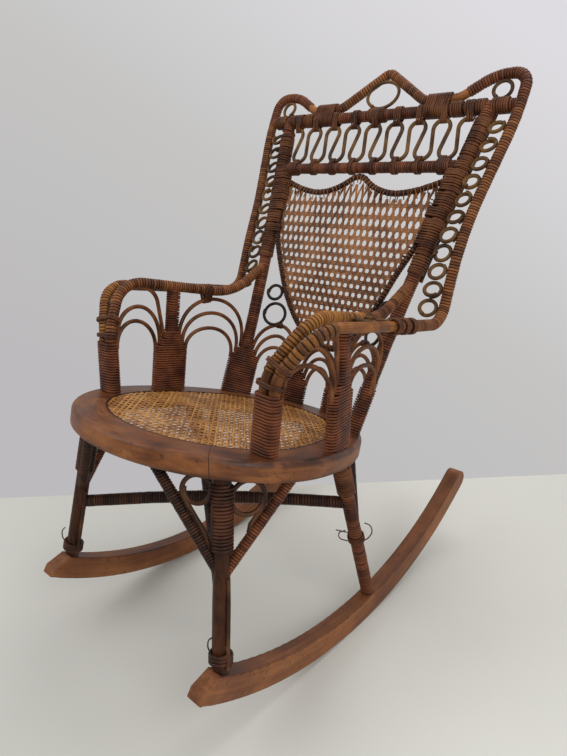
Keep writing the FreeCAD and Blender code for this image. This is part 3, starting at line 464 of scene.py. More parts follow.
class Effects:
    """Effects that several finishes share, each a node group that is built once."""

    @staticmethod
    def empty(name: str, inputs: dict[str, str], outputs: Sequence[str]) -> NodeTree:
        """A new group with named sockets.

        Args:
            name: Name of the group.
            inputs: Socket types by socket name.
            outputs: Names of the values that it puts out.

        Returns:
            The group's tree, with its input and output nodes.
        """
        tree = bpy.data.node_groups.new(name, "ShaderNodeTree")
        for socket, kind in inputs.items():
            tree.interface.new_socket(socket, in_out="INPUT", socket_type=kind)
        for socket in outputs:
            tree.interface.new_socket(socket, in_out="OUTPUT", socket_type="NodeSocketFloat")
        tree.nodes.new("NodeGroupInput").name = "in"
        tree.nodes.new("NodeGroupOutput").name = "out"
        return tree

    @classmethod
    @lru_cache
    def age(cls) -> NodeTree:
        """Large dull patches and small dark specks."""
        made = cls.empty("age", {"Place": "NodeSocketVector", "Size": "NodeSocketFloat"}, ["Patch", "Speck"])
        pen = NodePen(made)
        given, put = made.nodes["in"].outputs, made.nodes["out"].inputs
        pen.feed(put["Patch"], pen.smooth(pen.noise(given["Place"], given["Size"], 4.0), 0.34, 0.68))
        fine = pen.noise(given["Place"], pen.times(given["Size"], 11.0), 2.0)
        pen.feed(put["Speck"], pen.smooth(fine, 0.60, 0.74))
        return made

    @classmethod
    @lru_cache
    def fibre(cls) -> NodeTree:
        """Fine lines of a cane, stretched along it or round it."""
        sockets = {"Lay": "NodeSocketVector", "Around": "NodeSocketFloat", "Along": "NodeSocketFloat"}
        made = cls.empty("fibre", sockets, ["Fibre"])
        pen = NodePen(made)
        given, put = made.nodes["in"].outputs, made.nodes["out"].inputs
        parts = pen.split(given["Lay"]).outputs
        place = pen.scaled(parts, (given["Around"], given["Around"], given["Along"]))
        pen.feed(put["Fibre"], pen.noise(place, 1.0, 3.0))
        return made


@dataclass(frozen=True)
class Finish:
    """Colours and sheen that every finish of the chair has."""

    name: str
    slot: str
    light: Colour
    middle: Colour
    dark: Colour
    roughness: float = 0.40
    coat: float = 0.03
    specular: float = 0.15

    @lru_cache
    def material(self) -> Material:
        """The finish as a material, built once."""
        made = bpy.data.materials.new(self.name)
        made.use_nodes = True
        made.node_tree.nodes.clear()
        pen = NodePen(made.node_tree)
        shader = pen.node("ShaderNodeBsdfPrincipled", {"Coat Weight": self.coat, "Coat Roughness": 0.25,
                                                       "Specular IOR Level": self.specular})
        pen.node("ShaderNodeOutputMaterial", {"Surface": shader.outputs[0]})
        self.draw(pen, shader)
        return made

    def stops(self) -> list[tuple[float, Colour]]:
        """The finish's colours in a row."""
        return [(0.22, self.dark), (0.48, self.middle), (0.78, self.light)]

    def draw(self, pen: NodePen, shader: Node) -> None:
        """Draws the nodes that feed the shader."""
        raise NotImplementedError

    def aged(self, pen: NodePen, size: float, parts: Sequence[tuple[Any, float]], patch: float,
             speck: float) -> tuple[Any, Any]:
        """The finish's colour with dull patches and dark specks.

        Args:
            pen: Draws in the material.
            size: Number of patches in a metre.
            parts: Values that pick the colour, each with its weight.
            patch: Weight of the patches.
            speck: Strength of the specks.

        Returns:
            Sockets of the colour and of the patches.
        """
        age = pen.group(Effects.age(), {"Place": self.places(pen), "Size": size}).outputs
        colour = pen.ramp(pen.blend([*parts, (age["Patch"], patch)]), self.stops())
        return pen.mix(pen.times(age["Speck"], speck), colour, self.dark), age["Patch"]

    def surface(self, pen: NodePen, shader: Node, colour: Any, rough: Any, height: Any,
                depth: float) -> None:
        """Joins colour, roughness and relief to the shader.

        Args:
            pen: Draws in the material.
            shader: The material's shader.
            colour: Socket of the colour.
            rough: Socket that is added to the roughness.
            height: Socket of the relief.
            depth: Depth of the relief.
        """
        pen.feed(shader.inputs["Base Color"], colour)
        pen.feed(shader.inputs["Roughness"], pen.math("ADD", rough, self.roughness))
        bump = pen.node("ShaderNodeBump", {"Strength": 0.6, "Distance": depth, "Height": height})
        pen.feed(shader.inputs["Normal"], bump.outputs["Normal"])

    @staticmethod
    def places(pen: NodePen) -> NodeSocket:
        """Places on the piece in the chair's own frame."""
        return pen.node("ShaderNodeTexCoord").outputs["Object"]

    @staticmethod
    def lay(pen: NodePen) -> NodeSocket:
        """Bearing round a cane and place along it."""
        return pen.node("ShaderNodeAttribute", attribute_name=LAY).outputs["Vector"]


@dataclass(frozen=True)
class WoundFinish(Finish):
    """Cane in close turns, each turn with its own tone and painted shade in the groove to the next."""

    # Colour of the painted shade in the grooves between turns.
    groove: Colour = (0.02, 0.008, 0.005, 1.0)

    def draw(self, pen: NodePen, shader: Node) -> None:
        """Draws tones by turn, fibres round the turn, grooves with painted shade, and age."""
        lay = self.lay(pen)
        turns = pen.split(lay).outputs[2]
        tone = pen.node("ShaderNodeTexWhiteNoise", {"W": pen.math("FLOOR", turns)}, noise_dimensions="1D")
        fibre = pen.group(Effects.fibre(), {"Lay": lay, "Around": 0.9, "Along": 8.0}).outputs["Fibre"]
        colour, patch = self.aged(pen, 19.0, [(tone.outputs["Value"], 0.36), (fibre, 0.42)], 0.32, 0.35)
        # Painted shade: the edges of each turn darken towards the groove colour, where the grooves between
        # turns lie in shade.
        aside = pen.math("ABSOLUTE", pen.math("SUBTRACT", pen.math("FRACT", turns), 0.5))
        edge = pen.smooth(aside, 0.30, 0.46)
        colour = pen.mix(edge, colour, self.groove)
        rough = pen.blend([(edge, 0.3), (patch, 0.12)])
        height = pen.blend([(fibre, 0.4), (edge, -0.7)])
        self.surface(pen, shader, colour, rough, height, 0.0006)


@dataclass(frozen=True)
class ReedFinish(Finish):
    """Smooth round reed with fibres along it."""

    def draw(self, pen: NodePen, shader: Node) -> None:
        """Draws fibres along the reed, dull patches and specks."""
        lay = {"Lay": self.lay(pen), "Around": 4.0, "Along": 22.0}
        fibre = pen.group(Effects.fibre(), lay).outputs["Fibre"]
        colour, patch = self.aged(pen, 26.0, [(fibre, 0.62)], 0.40, 0.5)
        self.surface(pen, shader, colour, pen.blend([(patch, 0.15)]), fibre, 0.0004)


@dataclass(frozen=True)
class PoleFinish(Finish):
    """Upright pole with grain along its height."""

    def draw(self, pen: NodePen, shader: Node) -> None:
        """Draws long grain, dull patches and specks."""
        stretched = {"Vector": self.places(pen), "Scale": (190.0, 190.0, 9.0)}
        grain = pen.noise(pen.node("ShaderNodeMapping", stretched).outputs[0], 1.0, 4.0)
        colour, patch = self.aged(pen, 18.0, [(grain, 0.6)], 0.42, 0.55)
        self.surface(pen, shader, colour, pen.blend([(patch, 0.14)]), grain, 0.0005)


@dataclass(frozen=True)
class WovenFinish(Finish):
    """Split cane of a woven panel, each strand with its own tone, and painted shade with some dirt in the
    depth of the weave.
    """

    # Colour of the painted shade, with some dirt, on strands that lie deep in the weave.
    dirt: Colour = (0.022, 0.009, 0.004, 1.0)

    def draw(self, pen: NodePen, shader: Node) -> None:
        """Draws a tone by strand, worn patches, and painted shade with some dirt deep in the weave."""
        tone, level, _ = pen.split(self.lay(pen)).outputs
        fine = pen.noise(self.places(pen), 240.0, 2.0)
        colour, _ = self.aged(pen, 13.0, [(tone, 0.30), (fine, 0.45)], 0.34, 0.4)
        # Painted shade: the lower a strand lies in the weave, the closer its colour comes to the near-black
        # brown, which stands for the shade in the holes together with some dirt.
        colour = pen.mix(pen.smooth(level, 0.72, 0.10), colour, self.dirt)
        self.surface(pen, shader, colour, pen.blend([(fine, 0.12)]), fine, 0.0003)


class Bend(Enum):
    """Pieces of bent wood, whose grain follows their bend."""

    ROCKER = "rocker"
    RIM = "rim"


@dataclass(frozen=True)
class WoodFinish(Finish):
    """Bent wood with grain that follows the bend, tops painted darker as a darker stain together with painted
    shade, and rubbed edges.
    """

    bend: Bend = Bend.ROCKER
    edge: Colour = (0.05, 0.02, 0.01, 1.0)

    def bent_places(self, pen: NodePen) -> tuple[Any, Any, Any]:
        """Places in the wood: across the bend, round it and through it.

        Args:
            pen: Draws in the material.

        Returns:
            Sockets for the distance from the bend's middle, the bearing and the side place.
        """
        place = self.places(pen)
        if self.bend is Bend.RIM:
            seat = {"Vector": place, "Location": STANCE.seat(0.0, 0.0),
                    "Rotation": (-STANCE.seat_lean, 0.0, 0.0)}
            moved = pen.node("ShaderNodeMapping", seat, vector_type="TEXTURE")
            parts = pen.split(moved.outputs[0]).outputs
            first, side = parts[0], parts[2]
            second = pen.times(pen.math("ADD", parts[1], 0.02), 0.93)
        else:
            parts = pen.split(place).outputs
            first = pen.math("ADD", parts[1], -Rocker.middle_y)
            second = pen.math("SUBTRACT", parts[2], Rocker.middle_z)
            side = pen.math("ABSOLUTE", parts[0])
        squares = pen.math("ADD", pen.times(first, first), pen.times(second, second))
        return pen.math("SQRT", squares), pen.math("ARCTAN2", second, first), side

    def worn_edge(self, pen: NodePen, radius: Any, side: Any) -> tuple[Any, Any]:
        """Masks of the piece's top and of its edges.

        Args:
            pen: Draws in the material.
            radius: Socket of the distance from the bend's middle.
            side: Socket of the place through the piece.

        Returns:
            Sockets of the top face's mask and the edges' mask.
        """
        if self.bend is Bend.RIM:
            top = pen.smooth(side, -0.011, -0.002)
            low = pen.smooth(pen.times(side, -1.0), 0.024, 0.031)
            brow = pen.times(pen.smooth(side, -0.012, -0.005), pen.smooth(radius, 0.232, 0.246))
            return top, pen.math("MAXIMUM", low, brow)
        crown = -Rocker.inner_radius
        top = pen.smooth(pen.times(radius, -1.0), crown - 0.0020, crown - 0.0002)
        sole = pen.smooth(radius, Rocker.radius - 0.0035, Rocker.radius - 0.0005)
        aside = pen.math("ABSOLUTE", pen.math("SUBTRACT", side, Rocker.aside))
        corner = pen.smooth(aside, 0.0125, 0.0155)
        return top, pen.times(corner, pen.math("MAXIMUM", top, sole))

    def scarf(self, pen: NodePen) -> Any:
        """A thin dark line where two lengths of the rim meet."""
        parts = pen.split(self.places(pen)).outputs
        along = pen.blend([(parts[0], 0.707), (parts[1], 0.707)])
        off = pen.math("ABSOLUTE", pen.math("ADD", along, 0.1105))
        line = pen.smooth(off, 0.0009, 0.0002)
        return pen.times(line, pen.smooth(parts[0], 0.10, 0.11))

    def draw(self, pen: NodePen, shader: Node) -> None:
        """Draws grain round the bend, darker tops as stain and painted shade, dark patches, rubbed edges and
        the rim's scarf.
        """
        radius, bearing, side = self.bent_places(pen)
        grain = pen.noise(pen.scaled((radius, bearing, side), (230.0, 5.0, 160.0)), 1.0, 5.0)
        broad = pen.noise(pen.scaled((radius, bearing, side), (40.0, 4.0, 40.0)), 1.0, 3.0)
        top, edge = self.worn_edge(pen, radius, side)
        # The top mask's negative weight darkens the top faces: partly a darker stain, partly painted shade
        # where the sides take more light.
        colour, patch = self.aged(pen, 11.0, [(grain, 0.5), (broad, 0.42), (top, -0.14)], 0.26, 0.55)
        rubbed = pen.times(edge, pen.smooth(pen.noise(self.places(pen), 30.0, 3.0), 0.35, 0.6))
        colour = pen.mix(pen.times(rubbed, 0.75), colour, self.edge)
        height = pen.blend([(grain, 0.6), (broad, 0.3)])
        if self.bend is Bend.RIM:
            line = self.scarf(pen)
            colour = pen.mix(line, colour, self.edge)
            height = pen.blend([(height, 1.0), (line, -1.5)])
        rough = pen.blend([(patch, 0.16), (grain, 0.1)])
        self.surface(pen, shader, colour, rough, height, 0.0007)


# The groove colours below are painted shade in the grooves between turns.
WOUND_BROWN = WoundFinish("wound_brown", "wrapped_rattan", tint(136, 86, 48), tint(100, 59, 33),
                          tint(62, 34, 20), groove=tint(26, 13, 8))
WOUND_RED = WoundFinish("wound_red", "wrapped_rattan", tint(124, 72, 43), tint(91, 49, 29),
                        tint(56, 28, 18), groove=tint(24, 11, 8))
WOUND_GOLD = WoundFinish("wound_gold", "wrapped_rattan", tint(158, 106, 48), tint(120, 75, 33),
                         tint(74, 43, 21), groove=tint(28, 15, 8))
WOUND_DARK = WoundFinish("wound_dark", "wrapped_rattan", tint(74, 44, 28), tint(47, 27, 18),
                         tint(28, 16, 11), groove=tint(11, 6, 5))
REED_BROWN = ReedFinish("reed_brown", "bent_reed", tint(128, 80, 46), tint(94, 56, 31), tint(56, 31, 18))
REED_DARK = ReedFinish("reed_dark", "bent_reed", tint(94, 61, 37), tint(65, 40, 25), tint(37, 22, 15))
REED_OLIVE = ReedFinish("reed_olive", "bent_reed", tint(116, 84, 44), tint(82, 56, 31), tint(46, 29, 18))
REED_BLACK = ReedFinish("reed_black", "bent_reed", tint(52, 40, 33), tint(34, 26, 22), tint(20, 15, 13))
REED_GOLD = ReedFinish("reed_gold", "bent_reed", tint(152, 98, 50), tint(118, 72, 37), tint(76, 44, 24))
BINDING = ReedFinish("binding_brown", "binding_cane", tint(112, 70, 42), tint(82, 48, 29), tint(50, 28, 18))
BINDING_RED = ReedFinish("binding_red", "binding_cane", tint(122, 70, 43), tint(90, 49, 30), tint(55, 29, 19))
BINDING_DARK = ReedFinish("binding_dark", "binding_cane", tint(90, 52, 34), tint(60, 34, 22),
                          tint(34, 19, 13))
LACING = ReedFinish("lacing_cane", "woven_cane", tint(150, 100, 58), tint(112, 70, 40), tint(66, 38, 22))
CANE_SEAT = WovenFinish("woven_seat", "woven_cane", tint(190, 138, 76), tint(156, 105, 52), tint(104, 64, 30))
CANE_BACK = WovenFinish("woven_back", "woven_cane", tint(150, 100, 58), tint(114, 72, 41), tint(72, 42, 24))
POLE = PoleFinish("stained_pole", "bent_reed", tint(72, 38, 19), tint(46, 23, 12), tint(24, 13, 8))
CORE = PoleFinish("fan_core", "bent_reed", tint(76, 44, 28), tint(50, 29, 19), tint(28, 16, 12))
WOOD_ROCKER = WoodFinish("stained_rocker", "stained_wood", tint(138, 88, 52), tint(105, 62, 36),
                         tint(62, 34, 21), coat=0.05, specular=0.22, bend=Bend.ROCKER, edge=tint(40, 22, 15))
WOOD_RIM = WoodFinish("stained_rim", "stained_wood", tint(136, 85, 44), tint(102, 58, 30),
                      tint(52, 28, 17), roughness=0.36, coat=0.06, specular=0.25, bend=Bend.RIM,
                      edge=tint(42, 23, 15))


class Bench:
    """Shapes pieces of cane and reed from primitives, curves and modifiers."""

    turn_profile = ((0.2, 0.72), (0.5, 1.0), (0.8, 0.72), (1.0, 0.0))
    groove_limit = 0.0016
    groove_share = 0.26
    unevenness = 0.00022

    @staticmethod
    def clear() -> None:
        """Leaves nothing selected."""
        bpy.ops.object.select_all(action="DESELECT")

    @staticmethod
    def take(piece: Object) -> None:
        """Makes a piece the only selected and active one."""
        Bench.clear()
        piece.select_set(True)
        bpy.context.view_layer.objects.active = piece

    @staticmethod
    def guide(routes: Sequence[Route]) -> Object:
        """A curve object with one run of points for each route."""
        Bench.clear()
        bpy.ops.curve.primitive_nurbs_path_add()
        guide = bpy.context.object
        guide.data.splines.clear()
        for route in routes:
            spline = guide.data.splines.new("POLY")
            spline.points.add(len(route.points) - 1)
            for point, place in zip(spline.points, route.points):
                point.co = (*place, 1.0)
        return guide

    @staticmethod
    def places_of(mesh: Mesh) -> np.ndarray:
        """Places of a mesh's points, in rows of three numbers."""
        places = np.empty(len(mesh.vertices) * 3)
        mesh.vertices.foreach_get("co", places)
        return places.reshape(-1, 3)

    @staticmethod
    def set_lay(mesh: Mesh, values: np.ndarray) -> None:
        """Writes the bearing round a cane and the place along it on each point of a mesh."""
        attribute = mesh.attributes.new(LAY, "FLOAT_VECTOR", "POINT")
        attribute.data.foreach_set("vector", values.astype(np.float32).ravel())

    @staticmethod
    def close(piece: Object, angle: float = 50.0) -> None:
        """Joins touching rings, fills the ends, turns the faces outwards and shades them smooth."""
        Bench.take(piece)
        bpy.ops.object.mode_set(mode="EDIT")
        bpy.ops.mesh.select_all(action="SELECT")
        bpy.ops.mesh.remove_doubles(threshold=1e-6)
        bpy.ops.mesh.fill_holes(sides=0)
        bpy.ops.mesh.normals_make_consistent(inside=False)
        bpy.ops.object.mode_set(mode="OBJECT")
        bpy.ops.object.shade_smooth_by_angle(angle=math.radians(angle))

    @classmethod
    def wound(cls, route: Route, radius: float, pitch: float, seed: int, sides: int) -> Object:
        """A rod closely wound with cane.

        Args:
            route: Middle line of the rod.
            radius: Radius over the cane.
            pitch: Width of a turn.
            seed: Start of the small unevenness.
            sides: Faces round the rod.

        Returns:
            The wound rod.
        """
        turns = max(2, round(route.length / pitch))
        step = route.length / turns
        groove = min(cls.groove_limit, cls.groove_share * step)
        cls.clear()
        bpy.ops.mesh.primitive_circle_add(vertices=sides, radius=radius - groove)
        rod = bpy.context.object
        bpy.ops.object.mode_set(mode="EDIT")
        bpy.ops.mesh.select_all(action="SELECT")
        height, width = 0.0, radius - groove
        for share, swell in cls.turn_profile:
            rise = {"value": (0.0, 0.0, step * share - height)}
            bpy.ops.mesh.extrude_region_move(TRANSFORM_OT_translate=rise)
            wide = radius - groove + groove * swell
            bpy.ops.transform.resize(value=(wide / width, wide / width, 1.0))
            height, width = step * share, wide
        bpy.ops.object.mode_set(mode="OBJECT")
        places = cls.places_of(rod.data)
        turned = np.tile(np.column_stack([places[:, :2] / radius, places[:, 2] / step]), (turns, 1))
        turned[:, 2] += np.repeat(np.arange(turns), len(places)) + 100.0 * seed
        array = rod.modifiers.new("turns", "ARRAY")
        array.count = turns
        array.use_relative_offset = False
        array.use_constant_offset = True
        array.constant_offset_displace = (0.0, 0.0, step)
        guide = cls.guide([route])
        bend = rod.modifiers.new("route", "CURVE")
        bend.object = guide
        bend.deform_axis = "POS_Z"
        cls.take(rod)
        bpy.ops.object.modifier_apply(modifier="turns")
        cls.set_lay(rod.data, turned)
        bpy.ops.object.modifier_apply(modifier="route")
        bpy.data.curves.remove(guide.data)
        cls.uneven(rod, route, seed)
        cls.close(rod)
        return rod

    @staticmethod
    def uneven(rod: Object, route: Route, seed: int) -> None:
        """Lets the turns of a wound rod swell and shrink a little."""
        mesh = rod.data
        places = Bench.places_of(mesh)
        lay = np.empty(places.size, np.float32)
        mesh.attributes[LAY].data.foreach_get("vector", lay)
        turns = lay.reshape(-1, 3)[:, 2].astype(float)
        rng = np.random.default_rng(seed)
        knots = np.arange(math.floor(turns.min()), math.ceil(turns.max()) + 2)
        swell = np.interp(turns, knots, rng.uniform(-Bench.unevenness, Bench.unevenness, len(knots)))
        first = turns.min()
        runs = np.array(route.runs())
        line = np.array([list(point) for point in route.points])
        share = (turns - first) / max(1.0, turns.max() - first) * runs[-1]
        middles = np.column_stack([np.interp(share, runs, line[:, axis]) for axis in range(3)])
        ways = places - middles
        ways /= np.maximum(1e-6, np.linalg.norm(ways, axis=1))[:, None]
        mesh.vertices.foreach_set("co", (places + ways * swell[:, None]).ravel())

    @classmethod
    def reed(cls, routes: Sequence[Route], radius: float, sides: int = 8, seed: int = 1,
             tones: bool = False) -> Object:
        """Round reeds or canes along routes, as one piece.

        Args:
            routes: Middle lines of the reeds.
            radius: Radius of a reed.
            sides: Faces round a reed, an even number from 4.
            seed: Start of the tones.
            tones: Writes a tone for each reed in place of the bearing round it.

        Returns:
            The reeds.
        """
        guide = cls.guide(routes)
        guide.data.bevel_depth = radius
        guide.data.bevel_resolution = (sides - 4) // 2
        cls.take(guide)
        bpy.ops.object.convert(target="MESH")
        piece = bpy.context.object
        mesh = piece.data
        total = sum(len(route.points) for route in routes)
        sides = len(mesh.vertices) // total
        rng = random.Random(seed)
        bearings = np.arange(sides) * (2 * math.pi / sides)
        rows = []
        for route in routes:
            runs = np.repeat(np.array(route.runs()) + rng.uniform(0.0, 9.0), sides)
            around = np.tile(bearings, len(route.points))
            shade = np.full_like(runs, rng.random()) if tones else np.cos(around)
            rows.append(np.column_stack([shade, np.sin(around), runs]))
        cls.set_lay(mesh, np.concatenate(rows))
        cls.close(piece)
        return piece

    @classmethod
    def strands(cls, routes: Sequence[Route], half_width: float, seed: int,
                place: Callable[[float, float, float], Vector]) -> Object:
        """Flat strands of split cane, made round in a stretched flat and then laid on a surface.

        Args:
            routes: Middle lines in the flat, with stretched heights.
            half_width: Half width of a strand.
            seed: Start of the tones.
            place: Puts a place of the flat on the surface.

        Returns:
            The strands.
        """
        piece = cls.reed(routes, half_width, 6, seed, tones=True)
        heights = [vertex.co.z for vertex in piece.data.vertices]
        low, span = min(heights), max(heights) - min(heights)
        for vertex, mark in zip(piece.data.vertices, piece.data.attributes[LAY].data):
            x, y, z = vertex.co
            # The middle value keeps the height in the weave, which the woven finish darkens low down as
            # painted shade with some dirt.
            mark.vector = (mark.vector[0], (z - low) / span, mark.vector[2])
            vertex.co = place(x, y, z / STRETCH)
        cls.close(piece, 80.0)
        return piece

    @staticmethod
    def settle(piece: Object, name: str, finish: Finish, *nodes: str) -> None:
        """Names a finished piece, gives it its finish and fixes it to the chair.

        Args:
            piece: The piece.
            name: Its name.
            finish: Its finish.
            nodes: Solids of the frame that it stands for.
        """
        piece.name = name
        piece.data.name = name
        piece.data.materials.clear()
        piece.data.materials.append(finish.material())
        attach(piece, BODY)
        if nodes:
            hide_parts(*nodes)
        LOG.info("%s: %d faces", name, len(piece.data.polygons))

    @staticmethod
    def dress(node: str, finish: Finish) -> None:
        """Gives a solid of the frame its finish."""
        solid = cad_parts[node]
        solid.data.materials.clear()
        solid.data.materials.append(finish.material())
        LOG.info("%s: dressed", node)


@dataclass
class Seat:
    """Wood rim with its plug and spline, and the woven cane panel."""

    half_width: float = 0.250
    wide_y: float = -0.040
    front_reach: float = 0.226
    rear_reach: float = 0.310
    cane_inset: float = 0.0583
    pitch: float = 0.0130
    pair: float = 0.0017
    strand: float = 0.00138
    rise: float = 0.0005
    pair_reach: float = 0.30
    slant_reach: float = 0.40

    def inside(self, x: float, y: float) -> bool:
        """Says if a place of the seat plane lies in the cane panel."""
        reach = self.rear_reach if y > self.wide_y else self.front_reach
        across = x / (self.half_width - self.cane_inset)
        return math.hypot(across, (y - self.wide_y) / (reach - self.cane_inset)) < 1

    def rim_direction(self, x: float, y: float) -> Vector:
        """Direction of the rim beside a place of the seat plane."""
        reach = self.rear_reach if y > self.wide_y else self.front_reach
        slope = (y - self.wide_y) / reach ** 2
        return (STANCE.seat_rearward * (x / self.half_width ** 2) - OUT * slope).normalized()

    def strands(self, heading: tuple[float, float], offsets: Sequence[float], level: float,
                phase: int) -> list[Route]:
        """Parallel strands that rise and dip from crossing to crossing.

        Args:
            heading: Direction of the strands in the seat plane.
            offsets: Places of the strands, across their direction.
            level: Middle depth of the strands under the seat plane.
            phase: 0 or 1, for strands that rise or dip first.

        Returns:
            The strands' routes, laid flat.
        """
        routes = []
        step = self.pitch / 2 * (math.sqrt(2) if heading[0] * heading[1] else 1)
        for number, offset in enumerate(offsets):
            start = (-heading[1] * offset, heading[0] * offset)
            for run in clipped_runs(self.inside, start, heading, self.slant_reach, step):
                points = []
                for index, (x, y) in enumerate(run):
                    rise = self.rise if (index + number + phase) % 2 else -self.rise
                    points.append(Vector((x, y, (level + rise) * STRETCH)))
                routes.append(Route(tuple(points)))
        return routes

    def weave(self) -> None:
        """Weaves the cane: pairs both ways and single strands on both slants."""
        count = int(self.pair_reach / self.pitch)
        middles = [index * self.pitch for index in range(-count, count + 1)]
        pairs = [middle + aside for middle in middles for aside in (-self.pair, self.pair)]
        slant = math.sqrt(0.5)
        gap = self.pitch * slant
        half = int(self.slant_reach / gap)
        slants = [(index + 0.5) * gap for index in range(-half, half)]
        routes = self.strands((0.0, 1.0), pairs, -0.0024, 0)
        routes += self.strands((1.0, 0.0), pairs, -0.0020, 1)
        routes += self.strands((slant, slant), slants, -0.0014, 0)
        routes += self.strands((slant, -slant), slants, -0.0012, 1)
        panel = Bench.strands(routes, self.strand, 5, STANCE.seat)
        Bench.settle(panel, "seat_weave", CANE_SEAT, "seat_cane")

    def build(self) -> None:
        """Dresses the rim and weaves the panel."""
        Bench.dress("seat_rim", WOOD_RIM)
        Bench.dress("rim_plug", WOOD_RIM)
        Bench.dress("seat_spline", POLE)
        self.weave()


@dataclass
class Underframe:
    """Rockers, legs, braces, stretchers and the trim under the seat."""

    leg_radius: float = 0.0125
    brace_radius: float = 0.0085
    stretcher_radius: float = 0.011
    brace_height: float = 0.278
    rear_brace_height: float = 0.190
    scroll_radius: float = 0.00375
    winding_pitch: float = 0.0052
    winding_cane: float = 0.0046
    winding_gap: float = 0.013
    rim_thickness: float = 0.033
    leg_pitch: float = 0.0060
    brace_pitch: float = 0.0044
    stretcher_pitch: float = 0.0050
    stretcher_bow: float = 0.016
    splint_radius: float = 0.0032
    splint_lie: float = 0.0028
    collar_radius: float = 0.003
    collar_lie: float = 0.0034
    collar_pitch: float = 0.0058
    collar_height: float = 0.013
    knot_height: float = 0.186
    knot_radius: float = 0.0152
    knot_pitch: float = 0.0026
    loose_radius: float = 0.0011

    def leg_line(self, top_x: float, top_y: float, foot_y: float) -> Route:
        """Middle line of a left leg, from the rocker to the rim."""
        drop = math.sqrt(Rocker.inner_radius ** 2 - (foot_y - Rocker.middle_y) ** 2)
        foot = Vector((Rocker.aside, foot_y, Rocker.middle_z - drop))
        return Route((foot, STANCE.seat(top_x, top_y, -self.rim_thickness)))

    @property
    def front_line(self) -> Route:
        """Middle line of the left front leg."""
        return self.leg_line(0.172, -0.165, -0.358)

    @property
    def rear_line(self) -> Route:
        """Middle line of the left rear leg."""
        return self.leg_line(0.197, 0.089, 0.034)

    def brace_lines(self) -> dict[str, Route]:
        """Middle lines of the left braces, by name."""
        def under_rim(x: float, y: float) -> Vector:
            return STANCE.seat(x, y, -self.rim_thickness - 0.001)

        front_foot = self.front_line.near(lambda point: point.z, self.brace_height)
        rear_foot = self.rear_line.near(lambda point: point.z, self.rear_brace_height)
        return {"front_brace": Route((front_foot, under_rim(0.086, -0.222))),
                "side_brace": Route((front_foot, under_rim(0.221, -0.066))),
                "rear_brace": Route((rear_foot, under_rim(0.184, 0.141)))}

    def legs(self, side: Side) -> None:
        """Winds the legs and braces of a side and dresses the bare front leg."""
        seed = 10 + side.value
        Bench.dress(f"front_leg_{side}", POLE)
        rear = self.rear_line.sided(side)
        leg = Bench.wound(rear, self.leg_radius + SLACK, self.leg_pitch, seed, 16)
        Bench.settle(leg, f"rear_leg_{side}_cane", WOUND_RED, f"rear_leg_{side}")
        finishes = {"front_brace": WOUND_DARK, "side_brace": WOUND_RED, "rear_brace": WOUND_DARK}
        for name, line in self.brace_lines().items():
            rod = Bench.wound(line.sided(side), self.brace_radius + SLACK, self.brace_pitch, seed + 3, 10)
            Bench.settle(rod, f"{name}_{side}_cane", finishes[name], f"{name}_{side}")

    def windings(self) -> None:
        """Winds the thick cane under the rim on all four legs."""
        for name, line, turns, finish in (("front_leg_windings", self.front_line, 19, BINDING_DARK),
                                          ("rear_leg_windings", self.rear_line, 12, BINDING)):
            start = line.points[1] - line.axis * (turns * self.winding_pitch + self.winding_gap)
            belts = [Belt.ring(self.leg_radius + self.winding_cane / 2)] * turns
            routes = coil(start, line.axis, OUT, belts, self.winding_pitch, 0.12, 7).both()
            Bench.settle(Bench.reed(routes, self.winding_cane / 2, 8, 3), name + "_cane", finish, name)

    def stretchers(self) -> None:
        """Winds the two crossing stretchers."""
        start = self.front_line.near(lambda point: point.z, 0.252)
        end = self.rear_line.sided(Side.RIGHT).near(lambda point: point.z, 0.270)
        for name, way, side in (("lower_stretcher", -1.0, Side.LEFT), ("upper_stretcher", 1.0, Side.RIGHT)):
            middle = start.lerp(end, 0.5) + UP * (way * self.stretcher_bow)
            route = Route.rounded([start, middle, end]).sided(side)
            radius = self.stretcher_radius + SLACK
            rod = Bench.wound(route, radius, self.stretcher_pitch, 31 + side.value, 12)
            Bench.settle(rod, name + "_cane", WOUND_DARK, name)

    def scroll(self, brace: Route, radius: float, tail: float) -> Route:
        """A reed that lies along a brace and curls under the rim.

        Args:
            brace: Middle line of the brace.
            radius: Radius of the curl.
            tail: Length that lies along the brace.

        Returns:
            The reed's route.
        """
        foot, head = brace.points
        along = (foot - head).normalized()
        inwards = square_to(self.front_line.points[1] - head, along)
        lie = self.brace_radius + self.scroll_radius + SLACK
        room = radius + self.scroll_radius + SLACK
        drop = (room + (lie + radius) * inwards.dot(STANCE.seat_up)) / -along.dot(STANCE.seat_up)
        centre = head + along * drop + inwards * (lie + radius)
        tucked = centre - inwards * (radius + lie / 2) + along * tail
        points = [tucked, centre - inwards * radius + along * (tail * 0.7)]
        count = 36
        for index in range(count + 1):
            turn = 2 * math.pi * 1.12 * index / count
            shrink = radius * (1.0 - 0.16 * index / count)
            points.append(centre - inwards * (shrink * math.cos(turn)) - along * (shrink * math.sin(turn)))
        return Route(tuple(points))

